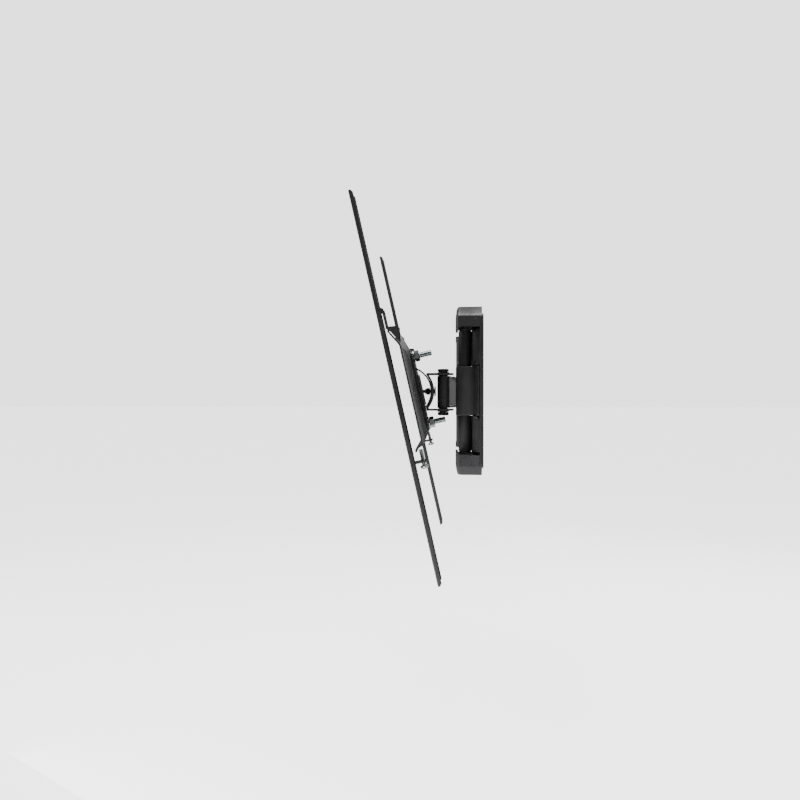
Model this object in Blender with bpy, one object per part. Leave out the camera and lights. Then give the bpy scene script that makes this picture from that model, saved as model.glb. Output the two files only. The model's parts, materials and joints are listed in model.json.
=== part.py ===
"""Full motion wall mount for a flat television, folded against the wall.

Metres, +Z up. The wall is the plane y = 0 and the room lies towards -Y.
The origin is the centre of the wall plate's back face.

The mount is a chain: wall plate, rear arms, front arm, head clevis, tilt
carrier, centre plate, and the two brackets that the television hangs from.
Each link is modelled in the frame of an empty on the joint that carries it.
"""

import math

import bmesh
import bpy
from mathutils import Vector

GAP = 0.0003                # left between faces that touch

# Joint axes
PIN_Y = -0.023              # wall hinge pin
ARM_LENGTH = 0.230          # wall pin to elbow
HEAD_Y = -0.052             # head swivel
HEAD_Z = -0.0012            # middle of the head and of the front arm
TILT_Y = -0.1005            # tilt axis
TILT_Z = -0.0005
TILT = math.radians(12.8)   # top of the television leaning into the room
SEAT = 0.0184               # tilt axis to the face the carrier's nuts sit on
LEVEL_V = -0.0027           # tilt axis to the middle of the plate, along it

# Wall plate
PLATE_HALF_WIDTH = 0.035
PLATE_HALF_HEIGHT = 0.100
PLATE_RIM = 0.0051
SHEET = 0.0025
PANEL_HALF_WIDTH = 0.029
PANEL_HALF_HEIGHT = 0.0234
PANEL_MIDDLE = 0.05605
LUG_RADIUS = 0.0102
LUG_THICK = 0.004
OUTER_LUG_Z = 0.0825
INNER_LUG_Z = 0.0262

# Covers on the wall hinge
COVER_FRONT = 0.0353
COVER_LOW = 0.080
COVER_SIDE_LOW = 0.0833
COVER_HIGH = 0.1098
COVER_WALL = 0.002
CENTRE_COVER_RADIUS = 0.0123
CENTRE_COVER_HALF = 0.0323

# Arms
BARREL_RADIUS = 0.00875
BARREL_LOW = 0.0330
BARREL_HIGH = 0.0795
ARM_LOW = 0.0435
ARM_HIGH = 0.0793
ARM_FACE = -0.0082
ARM_BACK = 0.008
FRONT_HALF = 0.0215
SLEEVE_RADIUS = 0.0080
SLEEVE_HALF = 0.0212
WEB_AT_ELBOW = -0.0058
WEB_AT_HEAD = -0.0235
FLANGE_DEPTH = 0.005

# Head
CLEVIS_RADIUS = 0.014
CLEVIS_LOW = 0.0225
BOW_INNER = 0.0316
BOW_OUTER = 0.0336
CLEVIS_WEB_OUTER = 0.0364
BOW_HALF_WIDTH = 0.0125

# Plate and brackets
PLATE_LENGTH = 0.424
PLATE_SHEET = 0.002
STUD_TOP_V = 0.0460
STUD_LOW_V = -0.0445
BRACKET_X = 0.200
BRACKET_HALF_WIDTH = 0.01225
BRACKET_LOW = -0.2113
BRACKET_HIGH = 0.2233
BRACKET_MIDDLE = 0.006
BRACKET_FACE = -0.0227
BRACKET_EDGE = -0.0178
BRACKET_SHEET = 0.002
TAB_V = -0.0787
TAB_SHEET = 0.0020
SCREW_N = -0.0085

STEPS = 20                  # sides of washers and bushes
BOLT_STEPS = 18             # sides of shanks, a multiple of six
BARREL_STEPS = 30


# --- Materials --------------------------------------------------------------

def material(name, colour, metallic, roughness):
    made = bpy.data.materials.new(name)
    made.use_nodes = True
    shader = made.node_tree.nodes["Principled BSDF"]
    shader.inputs["Base Color"].default_value = (*colour, 1.0)
    shader.inputs["Metallic"].default_value = metallic
    shader.inputs["Roughness"].default_value = roughness
    made.diffuse_color = (*colour, 1.0)
    return made


# --- Outlines ---------------------------------------------------------------

def arc(centre, radius, start, end, steps):
    """Points on an arc, angles in degrees."""
    points = []
    for step in range(steps + 1):
        angle = math.radians(start + (end - start) * step / steps)
        points.append((centre[0] + radius * math.cos(angle),
                       centre[1] + radius * math.sin(angle)))
    return points


def circle(radius, centre=(0.0, 0.0), steps=STEPS, start=0.0):
    return arc(centre, radius, start, start + 360.0, steps)[:-1]


def hexagon(across_flats, turn=0.0):
    radius = across_flats / math.sqrt(3.0)
    return arc((0.0, 0.0), radius, turn, turn + 300.0, 5)


def rounded_box(half_x, half_y, radius, steps=4):
    points = []
    for index, (sx, sy) in enumerate(((1, 1), (-1, 1), (-1, -1), (1, -1))):
        centre = (sx * (half_x - radius), sy * (half_y - radius))
        points += arc(centre, radius, 90.0 * index, 90.0 * index + 90.0, steps)
    return points


def obround(half_length, radius, steps=5):
    right = arc((half_length - radius, 0.0), radius, -90.0, 90.0, steps)
    left = arc((radius - half_length, 0.0), radius, 90.0, 270.0, steps)
    return right + left


def moved(outline, dx=0.0, dy=0.0):
    return [(x + dx, y + dy) for x, y in outline]


def sector(inner, outer, start, end, steps):
    """A curved strip's outline about the frame's origin."""
    return arc((0.0, 0.0), outer, start, end, steps) + arc((0.0, 0.0), inner, end, start, steps)


# --- Solids -----------------------------------------------------------------

AXES = {
    "X": lambda a, b, h: Vector((h, a, b)),
    "Y": lambda a, b, h: Vector((a, h, b)),
    "Z": lambda a, b, h: Vector((a, b, h)),
}


def finish(name, mesh_data, parent, look, location=(0.0, 0.0, 0.0)):
    bmesh.ops.recalc_face_normals(mesh_data, faces=mesh_data.faces)
    mesh = bpy.data.meshes.new(name)
    mesh_data.to_mesh(mesh)
    mesh_data.free()
    mesh.shade_smooth()
    mesh.set_sharp_from_angle(angle=math.radians(35.0))
    made = bpy.data.objects.new(name, mesh)
    bpy.context.scene.collection.objects.link(made)
    made.parent = parent
    made.location = location
    if look is None:
        made.display_type = "WIRE"
        made.hide_render = True
    else:
        mesh.materials.append(look)
    return made


def loft(name, rings, parent, look, location=(0.0, 0.0, 0.0)):
    """A closed body through rings of the same number of points."""
    shape = bmesh.new()
    rows = [[shape.verts.new(point) for point in ring] for ring in rings]
    for lower, upper in zip(rows, rows[1:]):
        for index, corner in enumerate(lower):
            after = (index + 1) % len(lower)
            shape.faces.new((corner, lower[after], upper[after], upper[index]))
    shape.faces.new(rows[0][::-1])
    shape.faces.new(rows[-1])
    return finish(name, shape, parent, look, location)


def prism(name, outline, low, high, axis, parent, look=None, location=(0.0, 0.0, 0.0)):
    place = AXES[axis]
    rings = [[place(a, b, height) for a, b in outline] for height in (low, high)]
    return loft(name, rings, parent, look, location)


def turned(name, profile, axis, parent, look, location=(0.0, 0.0, 0.0)):
    """A ring-shaped body: a closed profile of (radius, height) turned about an axis."""
    place = AXES[axis]
    shape = bmesh.new()
    rings = []
    for step in range(STEPS):
        angle = 2.0 * math.pi * step / STEPS
        rings.append([shape.verts.new(place(radius * math.cos(angle), radius * math.sin(angle), height))
                      for radius, height in profile])
    for index, ring in enumerate(rings):
        after = rings[(index + 1) % STEPS]
        for corner in range(len(profile)):
            next_corner = (corner + 1) % len(profile)
            shape.faces.new((ring[corner], after[corner], after[next_corner], ring[next_corner]))
    return finish(name, shape, parent, look, location)


def stacked(name, levels, axis, parent, look, location=(0.0, 0.0, 0.0)):
    """A body through outlines at rising heights, such as a bolt's shank and head."""
    place = AXES[axis]
    rings = [[place(a, b, height) for a, b in outline] for outline, height in levels]
    return loft(name, rings, parent, look, location)


def tube(name, inner, outer, low, high, axis, parent, look, location=(0.0, 0.0, 0.0)):
    profile = [(inner, low), (outer, low), (outer, high), (inner, high)]
    return turned(name, profile, axis, parent, look, location)


def combine(target, tool, operation):
    change = target.modifiers.new(tool.name, "BOOLEAN")
    change.object = tool
    change.operation = operation


def join(target, *tools):
    for tool in tools:
        combine(target, tool, "UNION")


def cut(target, *tools):
    for tool in tools:
        combine(target, tool, "DIFFERENCE")


def at(name, parent, location, turn_x=0.0):
    """An empty on a joint's axis."""
    made = bpy.data.objects.new(name, None)
    made.empty_display_size = 0.02
    bpy.context.scene.collection.objects.link(made)
    made.parent = parent
    made.location = location
    made.rotation_euler = (turn_x, 0.0, 0.0)
    return made


# --- Fasteners --------------------------------------------------------------

def hex_bolt(name, shank, across, tip, seat, head, axis, parent, look, location=(0.0, 0.0, 0.0), turn=0.0):
    """A hex bolt from its tip to the top of its head, on the piece's own axis."""
    side = 1.0 if seat > tip else -1.0
    chamfer = 0.0008 * side
    corners = hexagon(across, turn)
    per_side = BOLT_STEPS // 6
    ring = circle(shank, steps=BOLT_STEPS, start=turn)
    tapered = circle(shank - 0.0007, steps=BOLT_STEPS, start=turn)
    flat = circle(across / 2.0 - 0.0004, steps=BOLT_STEPS, start=turn)
    hexed = []
    for index in range(BOLT_STEPS):
        start = Vector(corners[index // per_side])
        end = Vector(corners[(index // per_side + 1) % 6])
        hexed.append(tuple(start.lerp(end, (index % per_side) / per_side)))
    levels = [(tapered, tip), (ring, tip + chamfer), (ring, seat), (hexed, seat),
              (hexed, head - chamfer), (flat, head)]
    return stacked(name, levels, axis, parent, look, location)


def hex_nut(name, bore, across, low, high, axis, parent, look, location=(0.0, 0.0, 0.0), turn=0.0):
    nut = prism(name, hexagon(across, turn), low, high, axis, parent, look, location)
    cut(nut, prism(name + "_bore", circle(bore, steps=BOLT_STEPS), low - 0.001, high + 0.001, axis, parent,
                   None, location))
    return nut


# --- Wall side --------------------------------------------------------------

def panel_outline(inset, end_inset, corner, side):
    """The raised panel behind the upper or the lower arm's barrel."""
    outline = rounded_box(PANEL_HALF_WIDTH - inset, PANEL_HALF_HEIGHT - end_inset, corner)
    return moved(outline, 0.0, side * PANEL_MIDDLE)


def wall_plate(steel):
    """A pressed plate with a turned rim, two raised panels and four hinge lugs."""
    outer = rounded_box(PLATE_HALF_WIDTH, PLATE_HALF_HEIGHT, 0.006)
    inner = rounded_box(PLATE_HALF_WIDTH - SHEET, PLATE_HALF_HEIGHT - SHEET, 0.004)
    plate = prism("wall_plate", outer, -PLATE_RIM, 0.0, "Y", None, steel)
    cut(plate, prism("plate_front_pocket", inner, -PLATE_RIM - 0.001, -SHEET, "Y", None))
    for side in (1.0, -1.0):
        levels = ((0.0, 0.0, SHEET / 2.0), (0.0006, 0.0002, PLATE_RIM), (0.0020, 0.0004, 0.0092),
                  (0.0055, 0.0010, 0.0134), (0.0070, 0.0018, 0.0138))
        panel = [(panel_outline(inset, end_inset, 0.0055, side), -depth) for inset, end_inset, depth in levels]
        join(plate, stacked("plate_panel", panel, "Y", None, None))
    for lug_z in (OUTER_LUG_Z, INNER_LUG_Z, -OUTER_LUG_Z - LUG_THICK, -INNER_LUG_Z - LUG_THICK):
        outline = arc((0.0, PIN_Y), LUG_RADIUS, 180.0, 360.0, 16)
        outline += [(LUG_RADIUS, -SHEET / 2.0), (-LUG_RADIUS, -SHEET / 2.0)]
        join(plate, prism("plate_lug", outline, lug_z, lug_z + LUG_THICK, "Z", None))
    for side in (1.0, -1.0):
        levels = ((0.0025, 0.0025, -0.001), (0.0031, 0.0027, PLATE_RIM), (0.0045, 0.0030, 0.0077),
                  (0.0085, 0.0042, 0.0113))
        hollow = [(panel_outline(inset, end_inset, 0.0032, side), -depth) for inset, end_inset, depth in levels]
        cut(plate, stacked("plate_hollow", hollow, "Y", None, None))
    cut(plate, prism("plate_pin_bore", circle(0.0052, (0.0, PIN_Y)), -0.11, 0.11, "Z", None))
    for side in (-1.0, 1.0):
        for level in (-1.0, 1.0):
            slot = moved(obround(0.0070, 0.0035), side * 0.0225, level * 0.0885)
            cut(plate, prism("plate_slot", slot, -0.02, 0.01, "Y", None))


def cover_outline(half_width, front, rear, corner):
    """Half-round front corners, flat sides, and a flare towards the wall."""
    narrow = half_width - 0.0015
    right = arc((narrow - corner, corner - front), corner, -90.0, 0.0, 6)
    flare = [(narrow, -0.0163), (narrow + 0.0004, -0.0120), (half_width, -rear)]
    right += flare
    return right + [(-x, y) for x, y in reversed(right)]


def cover_solid(name, side, thin, look):
    """The outside of an end cover, or its inside where thin is the wall left."""
    rings = []
    round_from = COVER_HIGH - 0.0125
    top = COVER_HIGH - thin
    past_plate = PLATE_HALF_HEIGHT + GAP
    heights = [COVER_SIDE_LOW + thin if thin else COVER_LOW, round_from, past_plate, past_plate + 0.0002]
    heights += [round_from + (top - round_from) * math.sin(math.radians(angle)) for angle in (30, 55, 75, 90)]
    for height in sorted(heights):
        rear = -0.01
        if thin == 0.0:
            rear = 0.0018 if height > past_plate else PLATE_RIM + 0.0002
        rise = max(0.0, (height - round_from) / (top - round_from))
        slope = 1.0 - math.sqrt(max(0.0, 1.0 - rise * rise))
        outline = cover_outline(PLATE_HALF_WIDTH - thin - 0.0110 * slope,
                                COVER_FRONT - thin - 0.0037 * slope, rear, 0.005 - thin)
        rings.append([Vector((x, y, side * height)) for x, y in outline])
    return loft(name, rings, None, look)


def end_cover(name, side, plastic):
    """A cap over an end lug, with a front lip that reaches lower than its sides."""
    def span(first, second):
        return sorted((side * first, side * second))

    cover = cover_solid(name, side, 0.0, plastic)
    lug = LUG_RADIUS + 0.0005
    opening = arc((0.0, PIN_Y), lug, 180.0, 360.0, 16) + [(lug, 0.01), (-lug, 0.01)]
    below = [(-0.05, COVER_WALL + 0.0011 - COVER_FRONT), (0.05, COVER_WALL + 0.0011 - COVER_FRONT), (0.05, 0.01),
             (-0.05, 0.01)]
    cut(cover,
        cover_solid(name + "_inside", side, COVER_WALL, None),
        prism(name + "_below", below, *span(COVER_LOW - 0.002, COVER_SIDE_LOW), "Z", None),
        prism(name + "_opening", opening, *span(COVER_LOW - 0.001, COVER_SIDE_LOW + 0.004), "Z", None))


def centre_cover_outline(radius, flange_x, rear):
    front = arc((0.0, PIN_Y), radius, 180.0, 360.0, 16)
    right = [(radius, -0.0185), (radius + 0.0006, -0.0150), (radius + 0.0028, -0.0122),
             (radius + 0.0085, -0.0101), (flange_x - 0.0020, -0.0086), (flange_x, -0.0072), (flange_x, rear)]
    left = [(-x, y) for x, y in reversed(right)]
    return front + right + left


def centre_cover(plastic):
    cover = prism("cover_centre", centre_cover_outline(CENTRE_COVER_RADIUS, 0.0330, -PLATE_RIM - GAP),
                  -CENTRE_COVER_HALF, CENTRE_COVER_HALF, "Z", None, plastic)
    inner = CENTRE_COVER_RADIUS - 0.0016
    hollow = arc((0.0, PIN_Y), inner, 180.0, 360.0, 16) + [(inner, 0.0), (-inner, 0.0)]
    cut(cover, prism("cover_centre_inside", hollow, 0.0016 - CENTRE_COVER_HALF, CENTRE_COVER_HALF - 0.0016,
                     "Z", None))
    cut(cover, prism("cover_centre_hole", circle(0.0086, (0.0, PIN_Y)), -0.04, 0.04, "Z", None))


def wall_side(steel, zinc, plastic, nylon):
    wall_plate(steel)
    end_cover("cover_top", 1.0, plastic)
    end_cover("cover_bottom", -1.0, plastic)
    centre_cover(plastic)
    pin = (0.0, PIN_Y, 0.0)
    lug_top = OUTER_LUG_Z + LUG_THICK
    hex_bolt("wall_pin", 0.0049, 0.016, -0.0985, lug_top + 0.0022, lug_top + 0.0086, "Z", None, zinc, pin)
    hex_nut("wall_pin_nut", 0.0052, 0.016, -lug_top - 0.0102, -lug_top - 0.0022, "Z", None, zinc, pin)
    tube("wall_pin_washer_top", 0.0053, 0.0098, lug_top + GAP, lug_top + 0.0019, "Z", None, zinc, pin)
    tube("wall_pin_washer_bottom", 0.0053, 0.0098, -lug_top - 0.0019, -lug_top - GAP, "Z", None, zinc, pin)
    lug_gaps = {
        "thrust_washer_upper_top": (BARREL_HIGH + GAP, OUTER_LUG_Z - GAP),
        "thrust_washer_upper_low": (INNER_LUG_Z + LUG_THICK + GAP, BARREL_LOW - GAP),
        "thrust_washer_lower_top": (GAP - BARREL_LOW, -INNER_LUG_Z - LUG_THICK - GAP),
        "thrust_washer_lower_low": (GAP - OUTER_LUG_Z, -BARREL_HIGH - GAP),
    }
    for name, (first, second) in lug_gaps.items():
        tube(name, 0.0053, 0.0081, min(first, second), max(first, second), "Z", None, nylon, pin)


# --- Rear arms --------------------------------------------------------------

def rear_arm(name, side, swivel, steel):
    """A channel between two barrels, open towards the wall when folded."""
    def span(first, second):
        return sorted((side * first, side * second))

    barrel = span(BARREL_LOW, BARREL_HIGH)
    arm = prism(name, circle(BARREL_RADIUS, steps=BARREL_STEPS), *barrel, "Z", swivel, steel)
    far = circle(BARREL_RADIUS, (-ARM_LENGTH, 0.0), steps=BARREL_STEPS)
    web = [(-ARM_LENGTH, ARM_FACE), (0.0, ARM_FACE), (0.0, ARM_FACE + SHEET), (-ARM_LENGTH, ARM_FACE + SHEET)]
    flange = [(-ARM_LENGTH + 0.004, ARM_FACE + 0.0004), (-0.004, ARM_FACE + 0.0004), (-0.014, ARM_BACK - 0.003),
              (-0.020, ARM_BACK), (0.020 - ARM_LENGTH, ARM_BACK), (0.014 - ARM_LENGTH, ARM_BACK - 0.003)]
    join(arm,
         prism(name + "_far_barrel", far, *barrel, "Z", swivel),
         prism(name + "_web", web, *span(ARM_LOW, ARM_HIGH), "Z", swivel),
         prism(name + "_inner_flange", flange, *span(ARM_LOW + 0.0002, ARM_LOW + SHEET), "Z", swivel),
         prism(name + "_outer_flange", flange, *span(ARM_HIGH - SHEET, ARM_HIGH - 0.0002), "Z", swivel))
    for x in (0.0, -ARM_LENGTH):
        cut(arm, prism(name + "_bore", circle(0.0069, (x, 0.0)), *span(0.02, 0.09), "Z", swivel))


def rear_arms(swivel, steel, zinc, plastic, nylon):
    elbow = (-ARM_LENGTH, 0.0, 0.0)
    for name, side in (("upper", 1.0), ("lower", -1.0)):
        rear_arm(name + "_arm", side, swivel, steel)
        low, high = sorted((side * (BARREL_LOW + GAP), side * (BARREL_HIGH - GAP)))
        tube(name + "_wall_bush", 0.0053, 0.0066, low, high, "Z", swivel, nylon)
        tube(name + "_elbow_bush", 0.0043, 0.0066, low, high, "Z", swivel, nylon, elbow)
        base = BARREL_HIGH + GAP
        low, high = sorted((side * base, side * (base + 0.0016)))
        tube(name + "_elbow_washer", 0.0043, 0.0077, low, high, "Z", swivel, zinc, elbow)
        rim = circle(0.0094)
        crown = circle(0.0082)
        levels = [(rim, side * base), (rim, side * (base + 0.0088)), (crown, side * (base + 0.0104))]
        cap = stacked(name + "_elbow_cap", levels, "Z", swivel, plastic, elbow)
        low, high = sorted((side * (base - 0.001), side * (base + 0.0090)))
        cut(cap, prism(name + "_elbow_cap_inside", circle(0.0080), low, high, "Z", swivel, None, elbow))
    seat = BARREL_HIGH + 0.0022
    hex_bolt("elbow_bolt", 0.0039, 0.013, -0.0885, seat, seat + 0.0053, "Z", swivel, zinc, elbow)
    hex_nut("elbow_nut", 0.0042, 0.013, -seat - 0.0062, -seat, "Z", swivel, zinc, elbow)


# --- Front arm --------------------------------------------------------------

def front_arm(elbow, steel, nylon):
    """A channel from the elbow barrel to the head sleeve."""
    head_x = ARM_LENGTH
    head_y = HEAD_Y - PIN_Y
    sleeve = circle(SLEEVE_RADIUS, (head_x, head_y), steps=BARREL_STEPS)
    slope = (WEB_AT_HEAD - WEB_AT_ELBOW) / head_x

    def web_y(x):
        return WEB_AT_ELBOW + slope * x

    end = head_x + 0.003
    web = [(0.0, web_y(0.0)), (end, web_y(end)), (end, web_y(end) + SHEET), (0.0, web_y(0.0) + SHEET)]
    flange = [(0.030, web_y(0.030) + 0.0006), (0.190, web_y(0.190) + 0.0006),
              (0.180, web_y(0.180) + SHEET + FLANGE_DEPTH), (0.040, web_y(0.040) + SHEET + FLANGE_DEPTH)]
    arm = prism("front_arm", circle(BARREL_RADIUS, steps=BARREL_STEPS), -CENTRE_COVER_HALF, CENTRE_COVER_HALF,
                "Z", elbow, steel)
    join(arm,
         prism("front_arm_web", web, HEAD_Z - FRONT_HALF, HEAD_Z + FRONT_HALF, "Z", elbow),
         prism("front_arm_sleeve", sleeve, HEAD_Z - SLEEVE_HALF, HEAD_Z + SLEEVE_HALF, "Z", elbow),
         prism("front_arm_top_flange", flange, HEAD_Z + FRONT_HALF - SHEET, HEAD_Z + FRONT_HALF - 0.0002, "Z", elbow),
         prism("front_arm_low_flange", flange, HEAD_Z - FRONT_HALF + 0.0002, HEAD_Z - FRONT_HALF + SHEET, "Z", elbow))
    cut(arm,
        prism("front_arm_elbow_bore", circle(0.0069), -0.04, 0.04, "Z", elbow),
        prism("front_arm_head_bore", circle(0.0055, (head_x, head_y)), -0.03, 0.03, "Z", elbow))
    for name, side in (("top", 1.0), ("low", -1.0)):
        low, high = sorted((side * 0.002, side * (CENTRE_COVER_HALF - GAP)))
        tube("front_elbow_bush_" + name, 0.0043, 0.0066, low, high, "Z", elbow, nylon)
        flange_low = side * (SLEEVE_HALF + GAP)
        flange_high = side * (CLEVIS_LOW - GAP)
        inside = side * 0.0102
        profile = [(0.0043, inside), (0.0052, inside), (0.0052, flange_low), (0.0070, flange_low),
                   (0.0070, flange_high), (0.0043, flange_high)]
        turned("head_bush_" + name, profile, "Z", elbow, nylon, (head_x, head_y, HEAD_Z))


# --- Head -------------------------------------------------------------------

def head_clevis(head, steel):
    """Two plates on the swivel bolt, joined by a web curved about the tilt axis."""
    tilt_y = TILT_Y - HEAD_Y
    end = tilt_y + 0.0265
    outline = arc((0.0, 0.0), CLEVIS_RADIUS, 0.0, 180.0, 16) + [(-CLEVIS_RADIUS, end), (CLEVIS_RADIUS, end)]
    clevis = prism("head_clevis", outline, CLEVIS_LOW, CLEVIS_LOW + SHEET, "Z", head, steel)
    strip = moved(sector(BOW_OUTER + GAP, CLEVIS_WEB_OUTER, -41.0, 41.0, 16), tilt_y, TILT_Z - HEAD_Z)
    join(clevis,
         prism("clevis_web", strip, -0.0138, 0.0138, "X", head),
         prism("clevis_low_plate", outline, -CLEVIS_LOW - SHEET, -CLEVIS_LOW, "Z", head))
    cut(clevis,
        prism("clevis_pivot_bore", circle(0.0042), -0.03, 0.03, "Z", head),
        prism("clevis_clamp_bore", circle(0.0027, (0.0, TILT_Z - HEAD_Z)), tilt_y + 0.030, tilt_y + 0.040, "Y", head))


def head_side(head, steel, black):
    head_clevis(head, steel)
    washer = CLEVIS_LOW + SHEET + GAP
    seat = washer + 0.0012 + GAP
    hex_bolt("head_bolt", 0.0039, 0.013, -0.0312, seat, seat + 0.0038, "Z", head, black, turn=30.0)
    hex_nut("head_nut", 0.0042, 0.013, -seat - 0.0045, -seat, "Z", head, black, turn=30.0)
    tube("head_washer_top", 0.0042, 0.0078, washer, washer + 0.0012, "Z", head, black)
    tube("head_washer_low", 0.0042, 0.0078, -washer - 0.0012, -washer, "Z", head, black)
    axis = (0.0, TILT_Y - HEAD_Y, TILT_Z - HEAD_Z)
    seat = CLEVIS_WEB_OUTER + GAP
    levels = [(circle(0.0024, steps=BOLT_STEPS), 0.0145), (circle(0.0024, steps=BOLT_STEPS), seat),
              (circle(0.0066, steps=BOLT_STEPS), seat), (circle(0.0066, steps=BOLT_STEPS), seat + 0.0007),
              (circle(0.0044, steps=BOLT_STEPS), seat + 0.0020)]
    stacked("clamp_bolt", levels, "Y", head, black, axis)
    hex_nut("clamp_nut", 0.0027, 0.008, 0.0242, BOW_INNER - 0.0007, "Y", head, black, axis)


# --- Tilt carrier -----------------------------------------------------------

def tilt_carrier(tilt, steel, plastic):
    """A flat plate with a bow concentric with the tilt axis welded to it."""
    base = moved(rounded_box(0.030, 0.054, 0.008), 0.0, LEVEL_V)
    carrier = prism("tilt_carrier", base, SEAT - SHEET, SEAT, "Y", tilt, steel)
    strip = sector(BOW_INNER, BOW_OUTER, -58.8, 58.8, 24)
    join(carrier, prism("carrier_bow", strip, -BOW_HALF_WIDTH, BOW_HALF_WIDTH, "X", tilt))
    slot = sector(BOW_INNER - 0.003, BOW_OUTER + 0.003, -21.0, 11.0, 10)
    window = moved(rounded_box(0.0052, 0.0105, 0.004), 0.0, -0.0017)
    cut(carrier,
        prism("bow_slot", slot, -0.0029, 0.0029, "X", tilt),
        prism("carrier_window", window, 0.0, SEAT + 0.002, "Y", tilt))
    for stud_v in (STUD_TOP_V, STUD_LOW_V):
        hole = moved(obround(0.0068, 0.0043), 0.0, LEVEL_V + stud_v)
        cut(carrier, prism("carrier_hole", hole, SEAT - 0.01, SEAT + 0.01, "Y", tilt))
    pad = prism("carrier_pad", moved(rounded_box(0.0110, 0.0203, 0.003), 0.0, -0.0022), SEAT + GAP,
                SEAT + 0.0030, "Y", tilt, plastic)
    cut(pad, prism("pad_window", window, 0.0, SEAT + 0.006, "Y", tilt))


# --- Centre plate -----------------------------------------------------------

def plate_profile(corners, radius=0.0035, steps=3):
    """Side view of the pressed plate's wall face, top to bottom, with rounded bends."""
    points = [Vector(corners[0])]
    for before, corner, after in zip(corners, corners[1:], corners[2:]):
        corner = Vector(corner)
        into = (Vector(before) - corner).normalized() * radius * 0.4
        out = (Vector(after) - corner).normalized() * radius * 0.4
        for step in range(steps + 1):
            share = step / steps
            points.append((1 - share) ** 2 * (corner + into) + 2 * share * (1 - share) * corner
                          + share ** 2 * (corner + out))
    points.append(Vector(corners[-1]))
    return points


def centre_plate(level, steel):
    """Pressed bar with a hooked rim on top, a lower lip and a raised middle."""
    bar = plate_profile([(0.0675, -0.0137), (0.050, -0.004), (-0.0605, -0.004), (-0.0635, -0.012),
                         (-0.0665, -0.0125)])
    middle = plate_profile([(0.081, -0.0105), (0.0575, -0.0029), (-0.0575, -0.0029), (-0.0660, -0.0085),
                            (-0.0690, -0.0105)])
    half = PLATE_LENGTH / 2.0
    stations = [-half, -0.145, -0.078]
    stations += [-0.078 + 0.0035 * step for step in range(1, 6)]
    stations += [-0.052, -0.031, -0.0105]
    stations += [-x for x in reversed(stations)]
    shape = bmesh.new()
    rows = []
    for x in stations:
        share = min(1.0, max(0.0, (0.078 - abs(x)) / 0.0175))
        share = share * share * (3.0 - 2.0 * share)
        rows.append([shape.verts.new((x, *reversed(a.lerp(b, share)))) for a, b in zip(bar, middle)])
    for left, right in zip(rows, rows[1:]):
        for index in range(len(left) - 1):
            shape.faces.new((left[index], left[index + 1], right[index + 1], right[index]))
    plate = finish("centre_plate", shape, level, steel)
    wall_side_up = plate.data.polygons[len(plate.data.polygons) // 2].normal.y
    thick = plate.modifiers.new("sheet", "SOLIDIFY")
    thick.thickness = PLATE_SHEET
    thick.offset = -1.0 if wall_side_up > 0.0 else 1.0
    window = moved(rounded_box(0.0075, 0.0125, 0.004), 0.0, -LEVEL_V - 0.0017)
    cut(plate, prism("plate_window", window, -0.02, 0.01, "Y", level))
    for stud_v in (STUD_TOP_V, STUD_LOW_V):
        cut(plate, prism("stud_bore", circle(0.0043, (0.0, stud_v)), -0.02, 0.01, "Y", level))
    for x in (-0.150, -0.115, 0.115, 0.150):
        slot = moved(obround(0.011, 0.005), x, 0.0)
        cut(plate, prism("lightening_slot", slot, -0.02, 0.01, "Y", level))


def plate_side(level, steel, zinc):
    centre_plate(level, steel)
    for name, stud_v, tip in (("top", STUD_TOP_V, 0.0252), ("low", STUD_LOW_V, 0.0237)):
        spot = (0.0, 0.0, stud_v)
        back = -0.0029 - PLATE_SHEET - GAP
        levels = [(circle(0.0060, steps=BOLT_STEPS), back - 0.0032), (circle(0.0088, steps=BOLT_STEPS), back - 0.0012),
                  (circle(0.0088, steps=BOLT_STEPS), back), (circle(0.0039, steps=BOLT_STEPS), back),
                  (circle(0.0039, steps=BOLT_STEPS), tip - 0.0008), (circle(0.0032, steps=BOLT_STEPS), tip)]
        stacked("stud_" + name, levels, "Y", level, zinc, spot)
        tube("stud_washer_" + name, 0.0042, 0.0085, GAP, 0.0018, "Y", level, zinc, spot)
        hex_nut("stud_nut_" + name, 0.0042, 0.013, 0.0021, 0.0086, "Y", level, zinc, spot)


# --- Brackets ---------------------------------------------------------------

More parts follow.
